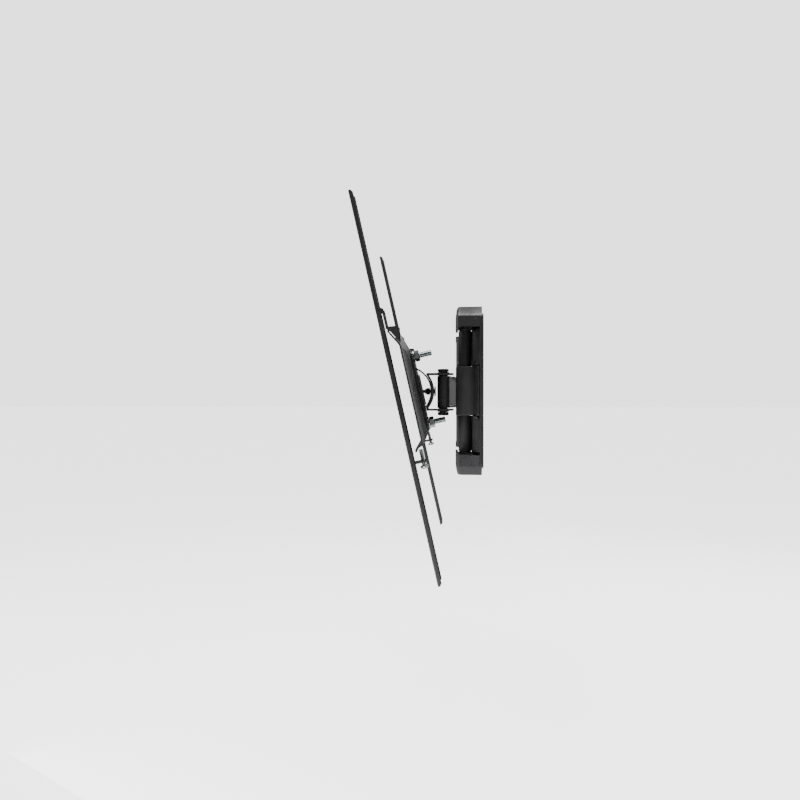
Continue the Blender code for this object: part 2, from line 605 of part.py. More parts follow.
def bracket(name, slide, steel):
    """A channel whose cheeks form the hook, with a tab for the lock screw."""
    cheek = [(BRACKET_FACE, BRACKET_LOW), (BRACKET_FACE, BRACKET_HIGH), (BRACKET_EDGE - 0.0020, BRACKET_HIGH),
             (BRACKET_EDGE, BRACKET_HIGH - 0.003), (BRACKET_EDGE, 0.0935), (-0.0141, 0.0914), (-0.0138, 0.0903),
             (-0.0138, 0.0715), (-0.0018, 0.0697), (-0.0018, 0.0690), (-0.0046, 0.0538), (-0.0054, 0.0536),
             (-0.0131, 0.0680), (-0.0158, 0.0690), (-0.0158, 0.0884), (-0.0162, 0.0888), (BRACKET_EDGE, 0.0890),
             (BRACKET_EDGE, BRACKET_LOW + 0.003), (BRACKET_EDGE - 0.0020, BRACKET_LOW)]
    half = BRACKET_HALF_WIDTH
    face = [(-half, BRACKET_LOW), (half, BRACKET_LOW), (half, BRACKET_HIGH), (-half, BRACKET_HIGH)]
    made = prism(name, face, BRACKET_FACE, BRACKET_FACE + BRACKET_SHEET, "Y", slide, steel)
    shifted = [(n + 0.0002, v * 0.9995) for n, v in cheek]
    tab = moved(rounded_box(half - 0.0004, 0.0083, 0.002), 0.0, -0.0128)
    join(made,
         prism(name + "_left_cheek", shifted, 0.0002 - half, BRACKET_SHEET - half, "X", slide),
         prism(name + "_right_cheek", shifted, half - BRACKET_SHEET, half - 0.0002, "X", slide),
         prism(name + "_tab", tab, TAB_V, TAB_V + TAB_SHEET, "Z", slide))
    cut(made, prism(name + "_screw_hole", circle(0.0028, (0.0, SCREW_N), BOLT_STEPS), -0.1, -0.07, "Z", slide))
    for row in (0.05, 0.10, 0.15, 0.20):
        for side in (1.0, -1.0):
            slot = [(b, a + BRACKET_MIDDLE + side * row) for a, b in obround(0.0065, 0.0034)]
            cut(made, prism(name + "_slot", slot, BRACKET_FACE - 0.002, BRACKET_FACE + 0.003, "Y", slide))


def lock_screw(name, slide, zinc):
    origin = Vector((0.0, SCREW_N, -0.0647))
    levels = [(circle(0.0034, steps=BOLT_STEPS), -0.0218), (circle(0.0046, steps=BOLT_STEPS), -0.0208),
              (circle(0.0046, steps=BOLT_STEPS), -0.0178), (circle(0.0024, steps=BOLT_STEPS), -0.0178),
              (circle(0.0024, steps=BOLT_STEPS), -0.0008), (circle(0.0017, steps=BOLT_STEPS), 0.0)]
    stacked(name, levels, "Z", slide, zinc, origin)


def main():
    for old in list(bpy.data.objects):
        bpy.data.objects.remove(old, do_unlink=True)
    steel = material("powder_coated_steel", (0.018, 0.018, 0.020), 0.0, 0.45)
    plastic = material("moulded_plastic", (0.022, 0.022, 0.024), 0.0, 0.38)
    zinc = material("zinc_plate", (0.55, 0.57, 0.60), 1.0, 0.35)
    nylon = material("bearing_nylon", (0.060, 0.060, 0.062), 0.0, 0.40)
    black = material("black_oxide", (0.014, 0.014, 0.015), 0.0, 0.40)

    swivel = at("wall_swivel_axis", None, (0.0, PIN_Y, 0.0))
    elbow = at("elbow_axis", swivel, (-ARM_LENGTH, 0.0, 0.0))
    head = at("head_swivel_axis", elbow, (ARM_LENGTH, HEAD_Y - PIN_Y, HEAD_Z))
    tilt = at("tilt_axis", head, (0.0, TILT_Y - HEAD_Y, TILT_Z - HEAD_Z), TILT)
    level = at("level_axis", tilt, (0.0, SEAT, LEVEL_V))

    wall_side(steel, zinc, plastic, nylon)
    rear_arms(swivel, steel, zinc, plastic, nylon)
    front_arm(elbow, steel, nylon)
    head_side(head, steel, black)
    tilt_carrier(tilt, steel, plastic)
    plate_side(level, steel, zinc)
    for name, side in (("left", -1.0), ("right", 1.0)):
        slide = at("bracket_slide_" + name, level, (side * BRACKET_X, 0.0, 0.0))
        bracket("bracket_" + name, slide, steel)
        lock_screw("lock_screw_" + name, slide, zinc)
    bpy.context.view_layer.update()


main()
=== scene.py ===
"""Looks of the full motion wall mount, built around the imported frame.

Metres, +Z up. The wall is y = 0 and the room lies towards -Y. Every piece is made where
its CAD node is, in a finer shape: rolled edges, bend radii, threads, chamfered hexagons,
weld beads and moulding details.
"""

import json
from math import atan2, cos, pi, radians, sin, sqrt, tan

import bmesh
import bpy
from mathutils import Matrix, Vector


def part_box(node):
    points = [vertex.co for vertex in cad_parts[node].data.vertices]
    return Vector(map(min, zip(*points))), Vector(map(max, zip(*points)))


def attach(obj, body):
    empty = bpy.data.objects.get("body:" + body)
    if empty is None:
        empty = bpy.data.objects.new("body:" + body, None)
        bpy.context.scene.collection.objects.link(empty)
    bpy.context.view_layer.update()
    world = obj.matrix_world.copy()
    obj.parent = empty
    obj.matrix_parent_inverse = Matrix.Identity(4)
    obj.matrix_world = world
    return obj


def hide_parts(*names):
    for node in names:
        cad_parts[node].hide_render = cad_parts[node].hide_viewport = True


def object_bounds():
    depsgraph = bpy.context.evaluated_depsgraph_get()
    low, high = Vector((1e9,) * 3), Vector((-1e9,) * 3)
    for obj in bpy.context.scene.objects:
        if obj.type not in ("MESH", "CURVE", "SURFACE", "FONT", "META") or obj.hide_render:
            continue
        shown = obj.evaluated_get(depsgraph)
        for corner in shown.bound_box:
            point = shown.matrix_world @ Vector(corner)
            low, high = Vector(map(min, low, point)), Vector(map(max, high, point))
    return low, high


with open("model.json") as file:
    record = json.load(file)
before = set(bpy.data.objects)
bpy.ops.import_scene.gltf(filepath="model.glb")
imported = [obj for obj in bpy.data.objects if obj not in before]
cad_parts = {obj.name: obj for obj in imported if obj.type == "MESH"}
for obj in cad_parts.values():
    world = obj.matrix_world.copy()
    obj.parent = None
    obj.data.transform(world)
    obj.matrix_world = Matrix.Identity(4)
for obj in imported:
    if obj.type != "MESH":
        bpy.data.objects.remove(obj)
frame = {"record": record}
cad_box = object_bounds()

BEHAVIOUR = frame["record"]["behaviour"]
BODY_OF = {node: body for body, nodes in BEHAVIOUR["bodies"].items() for node in nodes}
SLOT_OF = {entry["node"]: entry["material_slot"] for entry in frame["record"]["subparts"]}
JOINTS = {joint["name"]: joint for joint in BEHAVIOUR["joints"]}


def low(node):
    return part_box(node)[0]


def high(node):
    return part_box(node)[1]


def size(node):
    return high(node) - low(node)


def centre(node):
    return (high(node) + low(node)) / 2.0


# --- Places read from the frame ---

PIN = Vector(JOINTS["wall_swivel"]["pos_m"])
ELBOW = Vector(JOINTS["elbow"]["pos_m"])
HEAD = Vector(JOINTS["head_swivel"]["pos_m"])
TILT_AXIS = Vector(JOINTS["tilt"]["pos_m"])
LEVEL_AXIS = Vector(JOINTS["level"]["pos_m"])
NORMAL = Vector(JOINTS["level"]["axis"])
TILT = atan2(NORMAL.z, NORMAL.y)
PIN_PLACE, ELBOW_PLACE, HEAD_PLACE = (Matrix.Translation((spot.x, spot.y, 0.0))
                                      for spot in (PIN, ELBOW, HEAD))
TILT_PLACE = Matrix.Translation(TILT_AXIS) @ Matrix.Rotation(TILT, 4, "X")
LEVEL_PLACE = Matrix.Translation(LEVEL_AXIS) @ Matrix.Rotation(TILT, 4, "X")
ARM_LENGTH = PIN.x - ELBOW.x
SEAT = (LEVEL_AXIS - TILT_AXIS).dot(NORMAL)
LEVEL_V = (LEVEL_AXIS - TILT_AXIS).dot(Vector((0.0, -NORMAL.z, NORMAL.y)))

GAP = 0.0003
SHEET = 0.0025
ROUND = 64
CRISP_ANGLE = 32.0          # edges sharper than this stay crisp, in degrees
FLATNESS = 90               # how far large faces set the shading of the rolled edges beside them

# Fasteners: a thread's radius and pitch, a hexagon's width, and the hole or bore round it
M5_THREAD, M5_ACROSS, M5_HOLE = (0.0024, 0.0008), 0.008, 0.0027
M8_THREAD, M8_ACROSS, M8_HOLE = (0.0039, 0.00125), 0.013, 0.0042
M10_THREAD, M10_ACROSS, M10_HOLE = (0.0049, 0.0015), 0.016, 0.0052


# --- Materials ---

def set_sockets(node, values):
    for socket, value in values.items():
        node.inputs[socket].default_value = value


def add_node(tree, kind, sockets, **settings):
    node = tree.nodes.new(kind)
    for key, value in settings.items():
        setattr(node, key, value)
    set_sockets(node, sockets)
    return node


def object_coordinates(tree, stretch=(1.0, 1.0, 1.0)):
    place = add_node(tree, "ShaderNodeTexCoord", {})
    mapping = add_node(tree, "ShaderNodeMapping", {"Scale": stretch})
    tree.links.new(place.outputs["Object"], mapping.inputs["Vector"])
    return mapping.outputs["Vector"]


def new_material(name, colour, metallic, roughness):
    """A plain material, with its tree, its shader and the piece's own coordinates to build on."""
    made = bpy.data.materials.new(name)
    made.use_nodes = True
    shader = made.node_tree.nodes["Principled BSDF"]
    set_sockets(shader, {"Base Color": (*colour, 1.0), "Metallic": metallic, "Roughness": roughness})
    return made, made.node_tree, shader, object_coordinates(made.node_tree)


def noise(tree, vector, scale, detail=3.0, roughness=0.5):
    made = add_node(tree, "ShaderNodeTexNoise", {"Scale": scale, "Detail": detail, "Roughness": roughness})
    tree.links.new(vector, made.inputs["Vector"])
    return made.outputs["Fac"]


def ramp(tree, value, stops):
    """A colour for a value between 0 and 1, from stops of (place, colour or grey)."""
    made = add_node(tree, "ShaderNodeValToRGB", {})
    elements = made.color_ramp.elements
    while len(elements) < len(stops):
        elements.new(0.5)
    for element, (spot, colour) in zip(elements, stops):
        element.position = spot
        element.color = (*(colour if isinstance(colour, tuple) else grey(colour)), 1.0)
    tree.links.new(value, made.inputs["Fac"])
    return made.outputs["Color"]


def shade(tree, shader, socket, value, *stops):
    """Let a value between 0 and 1 set a shader's input through a ramp."""
    tree.links.new(ramp(tree, value, stops), shader.inputs[socket])


def grey(value):
    return (value, value, value)


def rgba_mix(tree, share, first, second, blend="MIX"):
    """Mix of colours; the colour sockets of a Mix node are its last A and B."""
    made = add_node(tree, "ShaderNodeMix", {}, data_type="RGBA", blend_type=blend)
    factor, first_in, second_in = made.inputs[0], made.inputs[6], made.inputs[7]
    for socket, value in ((factor, share), (first_in, first), (second_in, second)):
        if hasattr(value, "is_linked"):
            tree.links.new(value, socket)
        else:
            socket.default_value = value
    return made.outputs[2]


def bump(tree, shader, height, strength, distance, before=None):
    made = add_node(tree, "ShaderNodeBump", {"Strength": strength, "Distance": distance})
    tree.links.new(height, made.inputs["Height"])
    if before is not None:
        tree.links.new(before, made.inputs["Normal"])
    tree.links.new(made.outputs["Normal"], shader.inputs["Normal"])
    return made.outputs["Normal"]


def scuffs(tree, vector):
    """Thin, sparse rub marks: 1 on a mark and 0 elsewhere."""
    stretched = object_coordinates(tree, (60.0, 900.0, 240.0))
    streak = noise(tree, stretched, 1.0, 4.0, 0.6)
    patch = noise(tree, vector, 22.0, 2.0)
    lines = ramp(tree, streak, ((0.66, 0.0), (0.74, 1.0)))
    areas = ramp(tree, patch, ((0.52, 0.0), (0.66, 1.0)))
    return rgba_mix(tree, 1.0, lines, areas, "MULTIPLY")


def powder_coat():
    """Black powder coat: fine orange peel, slightly uneven sheen and a few rub marks."""
    made, tree, shader, place = new_material("powder_coat", grey(0.018), 0.0, 0.45)
    peel = noise(tree, place, 1500.0, 2.0, 0.55)
    grain = noise(tree, place, 5200.0, 2.0)
    cloud = noise(tree, place, 28.0, 4.0)
    tone = ramp(tree, cloud, ((0.3, (0.0125, 0.0125, 0.0135)), (0.72, (0.0215, 0.0213, 0.0225))))
    speck = ramp(tree, grain, ((0.42, 0.72), (0.62, 1.18)))
    tone = rgba_mix(tree, 1.0, tone, speck, "MULTIPLY")
    marks = scuffs(tree, place)
    tone = rgba_mix(tree, marks, tone, (0.052, 0.052, 0.055, 1.0))
    tree.links.new(tone, shader.inputs["Base Color"])
    dull = ramp(tree, cloud, ((0.25, 0.4), (0.75, 0.53)))
    dull = rgba_mix(tree, marks, dull, (0.36, 0.36, 0.36, 1.0))
    tree.links.new(dull, shader.inputs["Roughness"])
    set_sockets(shader, {"Specular IOR Level": 0.35})
    coarse = bump(tree, shader, peel, 0.28, 0.00012)
    bump(tree, shader, grain, 0.16, 0.00005, coarse)
    return made


def moulded_plastic():
    """Spark-eroded black moulding with a soft sheen."""
    made, tree, shader, place = new_material("moulded_plastic", grey(0.02), 0.0, 0.4)
    pits = add_node(tree, "ShaderNodeTexVoronoi", {"Scale": 2600.0})
    tree.links.new(place, pits.inputs["Vector"])
    grain = noise(tree, place, 3400.0, 3.0, 0.6)
    cloud = noise(tree, place, 36.0, 3.0)
    tone = ramp(tree, cloud, ((0.3, (0.0165, 0.0165, 0.018)), (0.75, (0.024, 0.024, 0.0255))))
    marks = scuffs(tree, place)
    tone = rgba_mix(tree, marks, tone, (0.045, 0.045, 0.047, 1.0))
    tree.links.new(tone, shader.inputs["Base Color"])
    shade(tree, shader, "Roughness", grain, (0.35, 0.34), (0.7, 0.46))
    deep = bump(tree, shader, pits.outputs["Distance"], 0.2, 0.00008)
    bump(tree, shader, grain, 0.18, 0.00005, deep)
    return made


def mottled(name, base, metallic, rough, tones, glosses, relief):
    """A surface whose colour, gloss and relief each follow a noise.

    Tones and glosses are a noise's scale and detail and the stops of a ramp; relief is a noise's
    scale and detail, a strength and a depth.
    """
    made, tree, shader, place = new_material(name, base, metallic, rough)
    for socket, (scale, detail, *stops) in (("Base Color", tones), ("Roughness", glosses)):
        shade(tree, shader, socket, noise(tree, place, scale, detail), *stops)
    scale, detail, strength, depth = relief
    bump(tree, shader, noise(tree, place, scale, detail), strength, depth)
    return made


def nylon():
    """Dark nylon with the marks of turning round it."""
    made, tree, shader, place = new_material("dark_nylon", grey(0.05), 0.0, 0.42)
    cloud = noise(tree, place, 120.0, 4.0)
    marks = noise(tree, object_coordinates(tree, (1.0, 1.0, 9.0)), 700.0, 2.0)
    shade(tree, shader, "Base Color", cloud, (0.3, 0.038), (0.7, (0.062, 0.061, 0.058)))
    shade(tree, shader, "Roughness", marks, (0.3, 0.34), (0.7, 0.52))
    set_sockets(shader, {"Subsurface Weight": 0.04, "Subsurface Radius": grey(0.001)})
    bump(tree, shader, marks, 0.12, 0.00005)
    return made


ZINC = (0.34, 0.41, 0.45)
WARM_ZINC = (0.44, 0.47, 0.44)
DARK_ZINC = (0.2924, 0.3526, 0.387)

LOOKS = {
    "steel": powder_coat(),
    "plastic": moulded_plastic(),
    "zinc": mottled("zinc_plate", ZINC, 1.0, 0.22,
                    (160.0, 4.0, (0.3, ZINC), (0.52, WARM_ZINC), (0.74, DARK_ZINC)),
                    (2400.0, 3.0, (0.3, 0.15), (0.72, 0.32)), (2400.0, 3.0, 0.1, 0.00004)),
    "nylon": nylon(),
    "black_oxide": mottled("black_oxide", grey(0.022), 0.85, 0.36,
                           (260.0, 4.0, (0.3, 0.014), (0.72, (0.038, 0.037, 0.036))),
                           (260.0, 4.0, (0.3, 0.28), (0.72, 0.46)), (2600.0, 2.0, 0.12, 0.00004)),
    "weld": mottled("coated_weld", grey(0.018), 0.0, 0.38,
                    (800.0, 3.0, (0.3, 0.013), (0.7, (0.026, 0.026, 0.028))),
                    (800.0, 3.0, (0.3, 0.3), (0.7, 0.48)), (800.0, 3.0, 0.3, 0.00015)),
}


# --- Outlines ---

def arc(middle, radius, start, end, steps):
    points = []
    for step in range(steps + 1):
        angle = radians(start + (end - start) * step / steps)
        points.append((middle[0] + radius * cos(angle), middle[1] + radius * sin(angle)))
    return points


def circle(radius, middle=(0.0, 0.0), steps=ROUND):
    return arc(middle, radius, 0.0, 360.0, steps)[:-1]


def rounded_box(half_x, half_y, radius, steps=10):
    points = []
    for index, (sx, sy) in enumerate(((1, 1), (-1, 1), (-1, -1), (1, -1))):
        middle = (sx * (half_x - radius), sy * (half_y - radius))
        points += arc(middle, radius, 90.0 * index, 90.0 * index + 90.0, steps)
    return points


def obround(half_length, radius, steps=12):
    right = arc((half_length - radius, 0.0), radius, -90.0, 90.0, steps)
    left = arc((radius - half_length, 0.0), radius, 90.0, 270.0, steps)
    return right + left


def shifted(outline, dx=0.0, dy=0.0):
    return [(x + dx, y + dy) for x, y in outline]


def sector(inner, outer, start, end, steps):
    return arc((0.0, 0.0), outer, start, end, steps) + arc((0.0, 0.0), inner, end, start, steps)


def filleted(corners, radii, steps=6, closed=True):
    """An outline with each corner rounded; radii is one number or one for each corner."""
    points = []
    count = len(corners)
    for index, corner in enumerate(corners):
        radius = radii[index] if isinstance(radii, list) else radii
        here = Vector(corner)
        if not closed and index in (0, count - 1):
            points.append(tuple(here))
            continue
        into = (Vector(corners[index - 1]) - here).normalized()
        out = (Vector(corners[(index + 1) % count]) - here).normalized()
        half = into.angle(out) / 2.0
        reach = radius / tan(half)
        middle = here + (into + out).normalized() * radius / sin(half)
        start = here + into * reach - middle
        end = here + out * reach - middle
        sweep = start.angle_signed(end)
        for step in range(steps + 1):
            turn = Matrix.Rotation(-sweep * step / steps, 2)
            points.append(tuple(middle + turn @ start))
    return points


def dome(middle, start, reach, rise, step):
    """A quarter ellipse of (radius, height) that stops a step or less before the axis."""
    return [(middle + reach * cos(radians(angle)), start + rise * sin(radians(angle)))
            for angle in range(0, 90, step)]


# --- Solids ---

AXES = {
    "X": lambda a, b, h: Vector((h, a, b)),
    "Y": lambda a, b, h: Vector((a, h, b)),
    "Z": lambda a, b, h: Vector((a, b, h)),
}


def add_object(name, data):
    made = bpy.data.objects.new(name, data)
    bpy.context.scene.collection.objects.link(made)
    return made


def to_object(name, shape, place=None):
    bmesh.ops.remove_doubles(shape, verts=shape.verts, dist=1e-7)
    bmesh.ops.recalc_face_normals(shape, faces=shape.faces)
    if place is not None:
        shape.transform(place)
    mesh = bpy.data.meshes.new(name)
    shape.to_mesh(mesh)
    shape.free()
    return add_object(name, mesh)


def loft(rings, place=None, name="body"):
    """A closed body through rings of points, with a flat end on the first and the last."""
    shape = bmesh.new()
    rows = [[shape.verts.new(point) for point in ring] for ring in rings]
    for first, second in zip(rows, rows[1:]):
        for index, corner in enumerate(first):
            after = (index + 1) % len(first)
            shape.faces.new((corner, first[after], second[after], second[index]))
    shape.faces.new(rows[0][::-1])
    shape.faces.new(rows[-1])
    return to_object(name, shape, place)


def stacked(levels, axis, place=None):
    """A body through outlines, each at its height along an axis."""
    at = AXES[axis]
    return loft([[at(a, b, height) for a, b in outline] for outline, height in levels], place)


def prism(outline, bottom, top, axis, place=None):
    return stacked([(outline, bottom), (outline, top)], axis, place)


def turned(name, profile, axis, place=None, steps=ROUND, ring=True):
    """A body about an axis, from a profile of (radius, height) or a function giving one for each angle.

    A ring joins its profile's ends; otherwise they lie on the axis.
    """
    at = AXES[axis]
    shape = bmesh.new()
    rows = []
    for step in range(steps):
        angle = 2.0 * pi * step / steps
        rows.append([shape.verts.new(at(radius * cos(angle), radius * sin(angle), height))
                     for radius, height in (profile(angle) if callable(profile) else profile)])
    count = len(rows[0])
    for index, row in enumerate(rows):
        after = rows[(index + 1) % steps]
        for corner in range(count if ring else count - 1):
            following = (corner + 1) % count
            shape.faces.new((row[corner], after[corner], after[following], row[following]))
    return to_object(name, shape, place)


def applied(target):
    """The object with its modifiers made into its mesh."""
    graph = bpy.context.evaluated_depsgraph_get()
    graph.update()
    mesh = bpy.data.meshes.new_from_object(target.evaluated_get(graph))
    target.modifiers.clear()
    old = target.data
    target.data = mesh
    bpy.data.meshes.remove(old)
    return target


def combined(target, tools, operation):
    for tool in tools:
        change = target.modifiers.new("combine", "BOOLEAN")
        change.object = tool
        change.operation = operation
    applied(target)
    for tool in tools:
        bpy.data.objects.remove(tool, do_unlink=True)
    return target


def join(target, *tools):
    return combined(target, tools, "UNION")


def cut(target, *tools):
    return combined(target, tools, "DIFFERENCE")


def finished(target, node, kind, width, segments=3, angle=38.0):
    """Break a piece's sharp edges, as pressing, moulding or a thick coat does, and settle it."""
    shape = bmesh.new()
    shape.from_mesh(target.data)
    bmesh.ops.remove_doubles(shape, verts=shape.verts, dist=2e-6)
    bmesh.ops.dissolve_limit(shape, angle_limit=radians(0.3), verts=shape.verts, edges=shape.edges)
    shape.to_mesh(target.data)
    shape.free()
    edge = target.modifiers.new("rolled", "BEVEL")
    edge.width = width
    edge.segments = segments
    edge.limit_method = "ANGLE"
    edge.angle_limit = radians(angle)
    edge.miter_outer = "MITER_ARC"
    applied(target)
    target.name = node + "_" + kind
    settle(target, node)


def settle(target, node, look=None, main=True):
    """Shade, colour and hang a piece on its node's body; the main piece stands for the node."""
    mesh = target.data
    mesh.materials.clear()
    mesh.materials.append(LOOKS[look or SLOT_OF[node]])
    mesh.shade_smooth()
    mesh.set_sharp_from_angle(angle=radians(CRISP_ANGLE))
    even = target.modifiers.new("even", "WEIGHTED_NORMAL")
    even.keep_sharp = True
    even.weight = FLATNESS
    applied(target)
    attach(target, BODY_OF[node])
    if main:
        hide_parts(node)


# --- Fasteners ---

CROWN = 0.475               # radius of a hexagon's end face, as a share of its width


def hex_radius(angle, across, turn=0.0):
    """Distance from a hexagon's middle to its side at an angle."""
    into = (angle - turn + pi / 6.0) % (pi / 3.0) - pi / 6.0
    return across / 2.0 / cos(into)


def hex_sides(angle, across, bottom, top, double=False, turn=pi / 6.0):
    """Outer profile of a hexagon with its corners chamfered at 30 degrees, from bottom to top."""
    side = hex_radius(angle, across, turn)
    crown = across * CROWN
    drop = (side - crown) * tan(radians(30.0))
    way = 1.0 if top > bottom else -1.0
    points = [(side, bottom)]
    if double:
        points = [(crown, bottom), (side, bottom + way * drop)]
    return points + [(side, top - way * drop), (crown, top)]


def nut(name, across, bore, bottom, top, axis, place, turn=pi / 6.0):
    """A hexagon nut with both ends chamfered and a countersunk thread."""
    sink = 0.0005 if top > bottom else -0.0005

    def profile(angle):
        inner = [(bore, top - sink), (bore, bottom + sink), (bore + 0.0005, bottom)]
        return hex_sides(angle, across, bottom, top, True, turn) + [(bore + 0.0005, top)] + inner

    return turned(name, profile, axis, place, 72)


def hex_nut(node, name, across, bore, place, turn=pi / 6.0):
    """A nut of its node's own heights about the Z axis, facing down."""
    settle(nut(name, across, bore, high(node).z, low(node).z, "Z", place, turn), node)


def washer(name, bore, outer, bottom, top, axis, place):
    """A stamped washer: rounded on its punch side, crisp on the other."""
    thick = top - bottom
    soft = 0.3 * thick
    profile = [(bore, bottom + soft * 0.4), (bore + soft * 0.4, bottom), (outer - soft, bottom),
               (outer - 0.3 * soft, bottom + 0.3 * soft), (outer, bottom + soft),
               (outer, top - soft * 0.3), (outer - soft * 0.3, top), (bore + soft, top), (bore, top - soft)]
    return turned(name, profile, axis, place)


def threaded_rod(name, node, thread, bottom, top, axis, place, steps=40):
    """The threaded length of a fastener, with its crests tapered at both ends, as a piece of its own."""
    radius, pitch = thread
    at = AXES[axis]
    length = abs(top - bottom)
    way = 1.0 if top > bottom else -1.0
    core = radius - 0.58 * pitch
    phases = ((0.0, core), (0.12, core), (0.5, radius), (0.62, radius))
    shape = bmesh.new()
    rows = []
    for turn in range(-1, int(length / pitch) + 2):
        for part, reach in phases:
            row = []
            for step in range(steps + 1):
                height = min(length, max(0.0, (turn + part + step / steps) * pitch))
                limit = core + 0.9 * min(height, length - height)
                spread = min(reach, max(core, limit))
                angle = 2.0 * pi * step / steps
                spot = at(spread * cos(angle), spread * sin(angle), bottom + way * height)
                row.append(shape.verts.new(spot))
            rows.append(row)
    for first, second in zip(rows, rows[1:]):
        for step in range(steps):
            shape.faces.new((first[step], first[step + 1], second[step + 1], second[step]))
    bmesh.ops.remove_doubles(shape, verts=shape.verts, dist=2e-6)
    bmesh.ops.dissolve_degenerate(shape, edges=shape.edges, dist=1e-6)
    rims = [edge for edge in shape.edges if edge.is_boundary]
    bmesh.ops.holes_fill(shape, edges=rims, sides=0)
    settle(to_object(name, shape, place), node, main=False)


def hex_bolt(node, across, seat, thread, shank_end, place, turn=pi / 6.0):
    """A bolt down the Z axis: its head, washer face and plain shank, and below them its thread."""
    top = high(node).z
    shank = thread[0]
    face = seat + 0.0003

    def profile(angle):
        middle = [(0.0, shank_end), (shank, shank_end), (shank, seat - 0.0002), (shank + 0.0002, seat),
                  (across * 0.46, seat), (across * 0.46, face)]
        dish = [(across * 0.4, top), (across * 0.36, top - 0.0003), (0.0, top - 0.0003)]
        return middle + hex_sides(angle, across, face, top, False, turn) + dish

    settle(turned(node + "_head", profile, "Z", place, 72, ring=False), node)
    threaded_rod(node + "_thread", node, thread, shank_end - 0.0001, low(node).z, "Z", place)


def bush(name, bore, outer, bottom, top, axis, place):
    """A moulded sleeve with lead-in chamfers."""
    way = 1.0 if top > bottom else -1.0
    edge = 0.0004
    lead = edge * way
    profile = [(bore, bottom + lead), (bore + edge, bottom), (outer - edge, bottom), (outer, bottom + lead),
               (outer, top - lead), (outer - edge, top), (bore + edge, top), (bore, top - lead)]
    return turned(name, profile, axis, place)


def fitted(make, node, kind, bore, place):
    """A ring of its node's own radius and heights, about the Z axis of a place."""
    ring = make(node + "_" + kind, bore, size(node).x / 2.0, low(node).z, high(node).z, "Z", place)
    settle(ring, node)


RIPPLE = 0.0009             # distance between a weld's rings


def weld_bead(name, points, radius, node, seed, arch=0.55, sides=10):
    """A rippled fillet along a path of points, each with the direction out of the joint."""
    rings = []
    count = len(points)
    for index, (spot, out) in enumerate(points):
        before = points[max(0, index - 1)][0]
        after = points[min(count - 1, index + 1)][0]
        along = (after - before).normalized()
        up = (out - along * out.dot(along)).normalized()
        across = along.cross(up)
        ripple = 1.0 + 0.1 * sin(index * 1.9 + seed) + 0.05 * sin(index * 0.63 + 2.0 * seed)
        ends = min(index, count - 1 - index)
        taper = (0.35, 0.75, 0.92, 1.0)[min(ends, 3)]
        ring = []
        for side in range(sides):
            angle = 2.0 * pi * side / sides
            ring.append(spot + (across * cos(angle) + up * sin(angle) * arch)
                        * radius * ripple * taper)
        rings.append(ring)
    settle(loft(rings, name=name), node, look="weld", main=False)


def straight_bead(name, start, end, out, radius, node, place):
    start, end = place @ Vector(start), place @ Vector(end)
    out = place.to_3x3() @ Vector(out)
    count = max(6, int((end - start).length / RIPPLE))
    points = [(start.lerp(end, step / count), out) for step in range(count + 1)]
    weld_bead(name, points, radius, node, start.x * 90.0 + start.z * 70.0)


# --- Wall plate and covers ---

PLATE_HALF_WIDTH = size("wall_plate").x / 2.0
PLATE_HALF_HEIGHT = size("wall_plate").z / 2.0
LUG_RADIUS = PIN.y - low("wall_plate").y
RIM_DEPTH = 0.0051
PANEL_HALF_WIDTH = 0.029
PANEL_TOP = 0.0829
PANEL_FOOT = size("cover_centre").z / 2.0 + 0.0004
PANEL_HALF_HEIGHT = (PANEL_TOP - PANEL_FOOT) / 2.0
PANEL_MIDDLE = (PANEL_TOP + PANEL_FOOT) / 2.0
PANEL_RISE = [(0.0, SHEET / 2.0), (0.0006, 0.0051), (0.002, 0.0092), (0.0055, 0.0134), (0.007, 0.0138)]
PANEL_BACK = [(0.0023, -0.002), (0.0031, 0.0051), (0.0045, 0.0077), (0.0085, 0.0113)]
LUG_THICK = 0.004
PIN_BORE = 0.0053           # of the bushes and washers round the wall pin
OUTER_LUG_Z = 0.0825
INNER_LUG_Z = 0.0262
WALL_SLOT_X = 0.0225
WALL_SLOT_Z = 0.0885


def panel_rings(corners, end_inset, corner):
    """Outlines of a pressed panel from corners of (inset, depth), steeper at its ends than its sides."""
    rings = []
    for inset, depth in filleted(corners, 0.0025, 5, closed=False):
        half_height = PANEL_HALF_HEIGHT - end_inset - 0.1 * (inset - corners[0][0])
        rings.append((rounded_box(PANEL_HALF_WIDTH - inset, half_height, corner), -depth))
    return rings


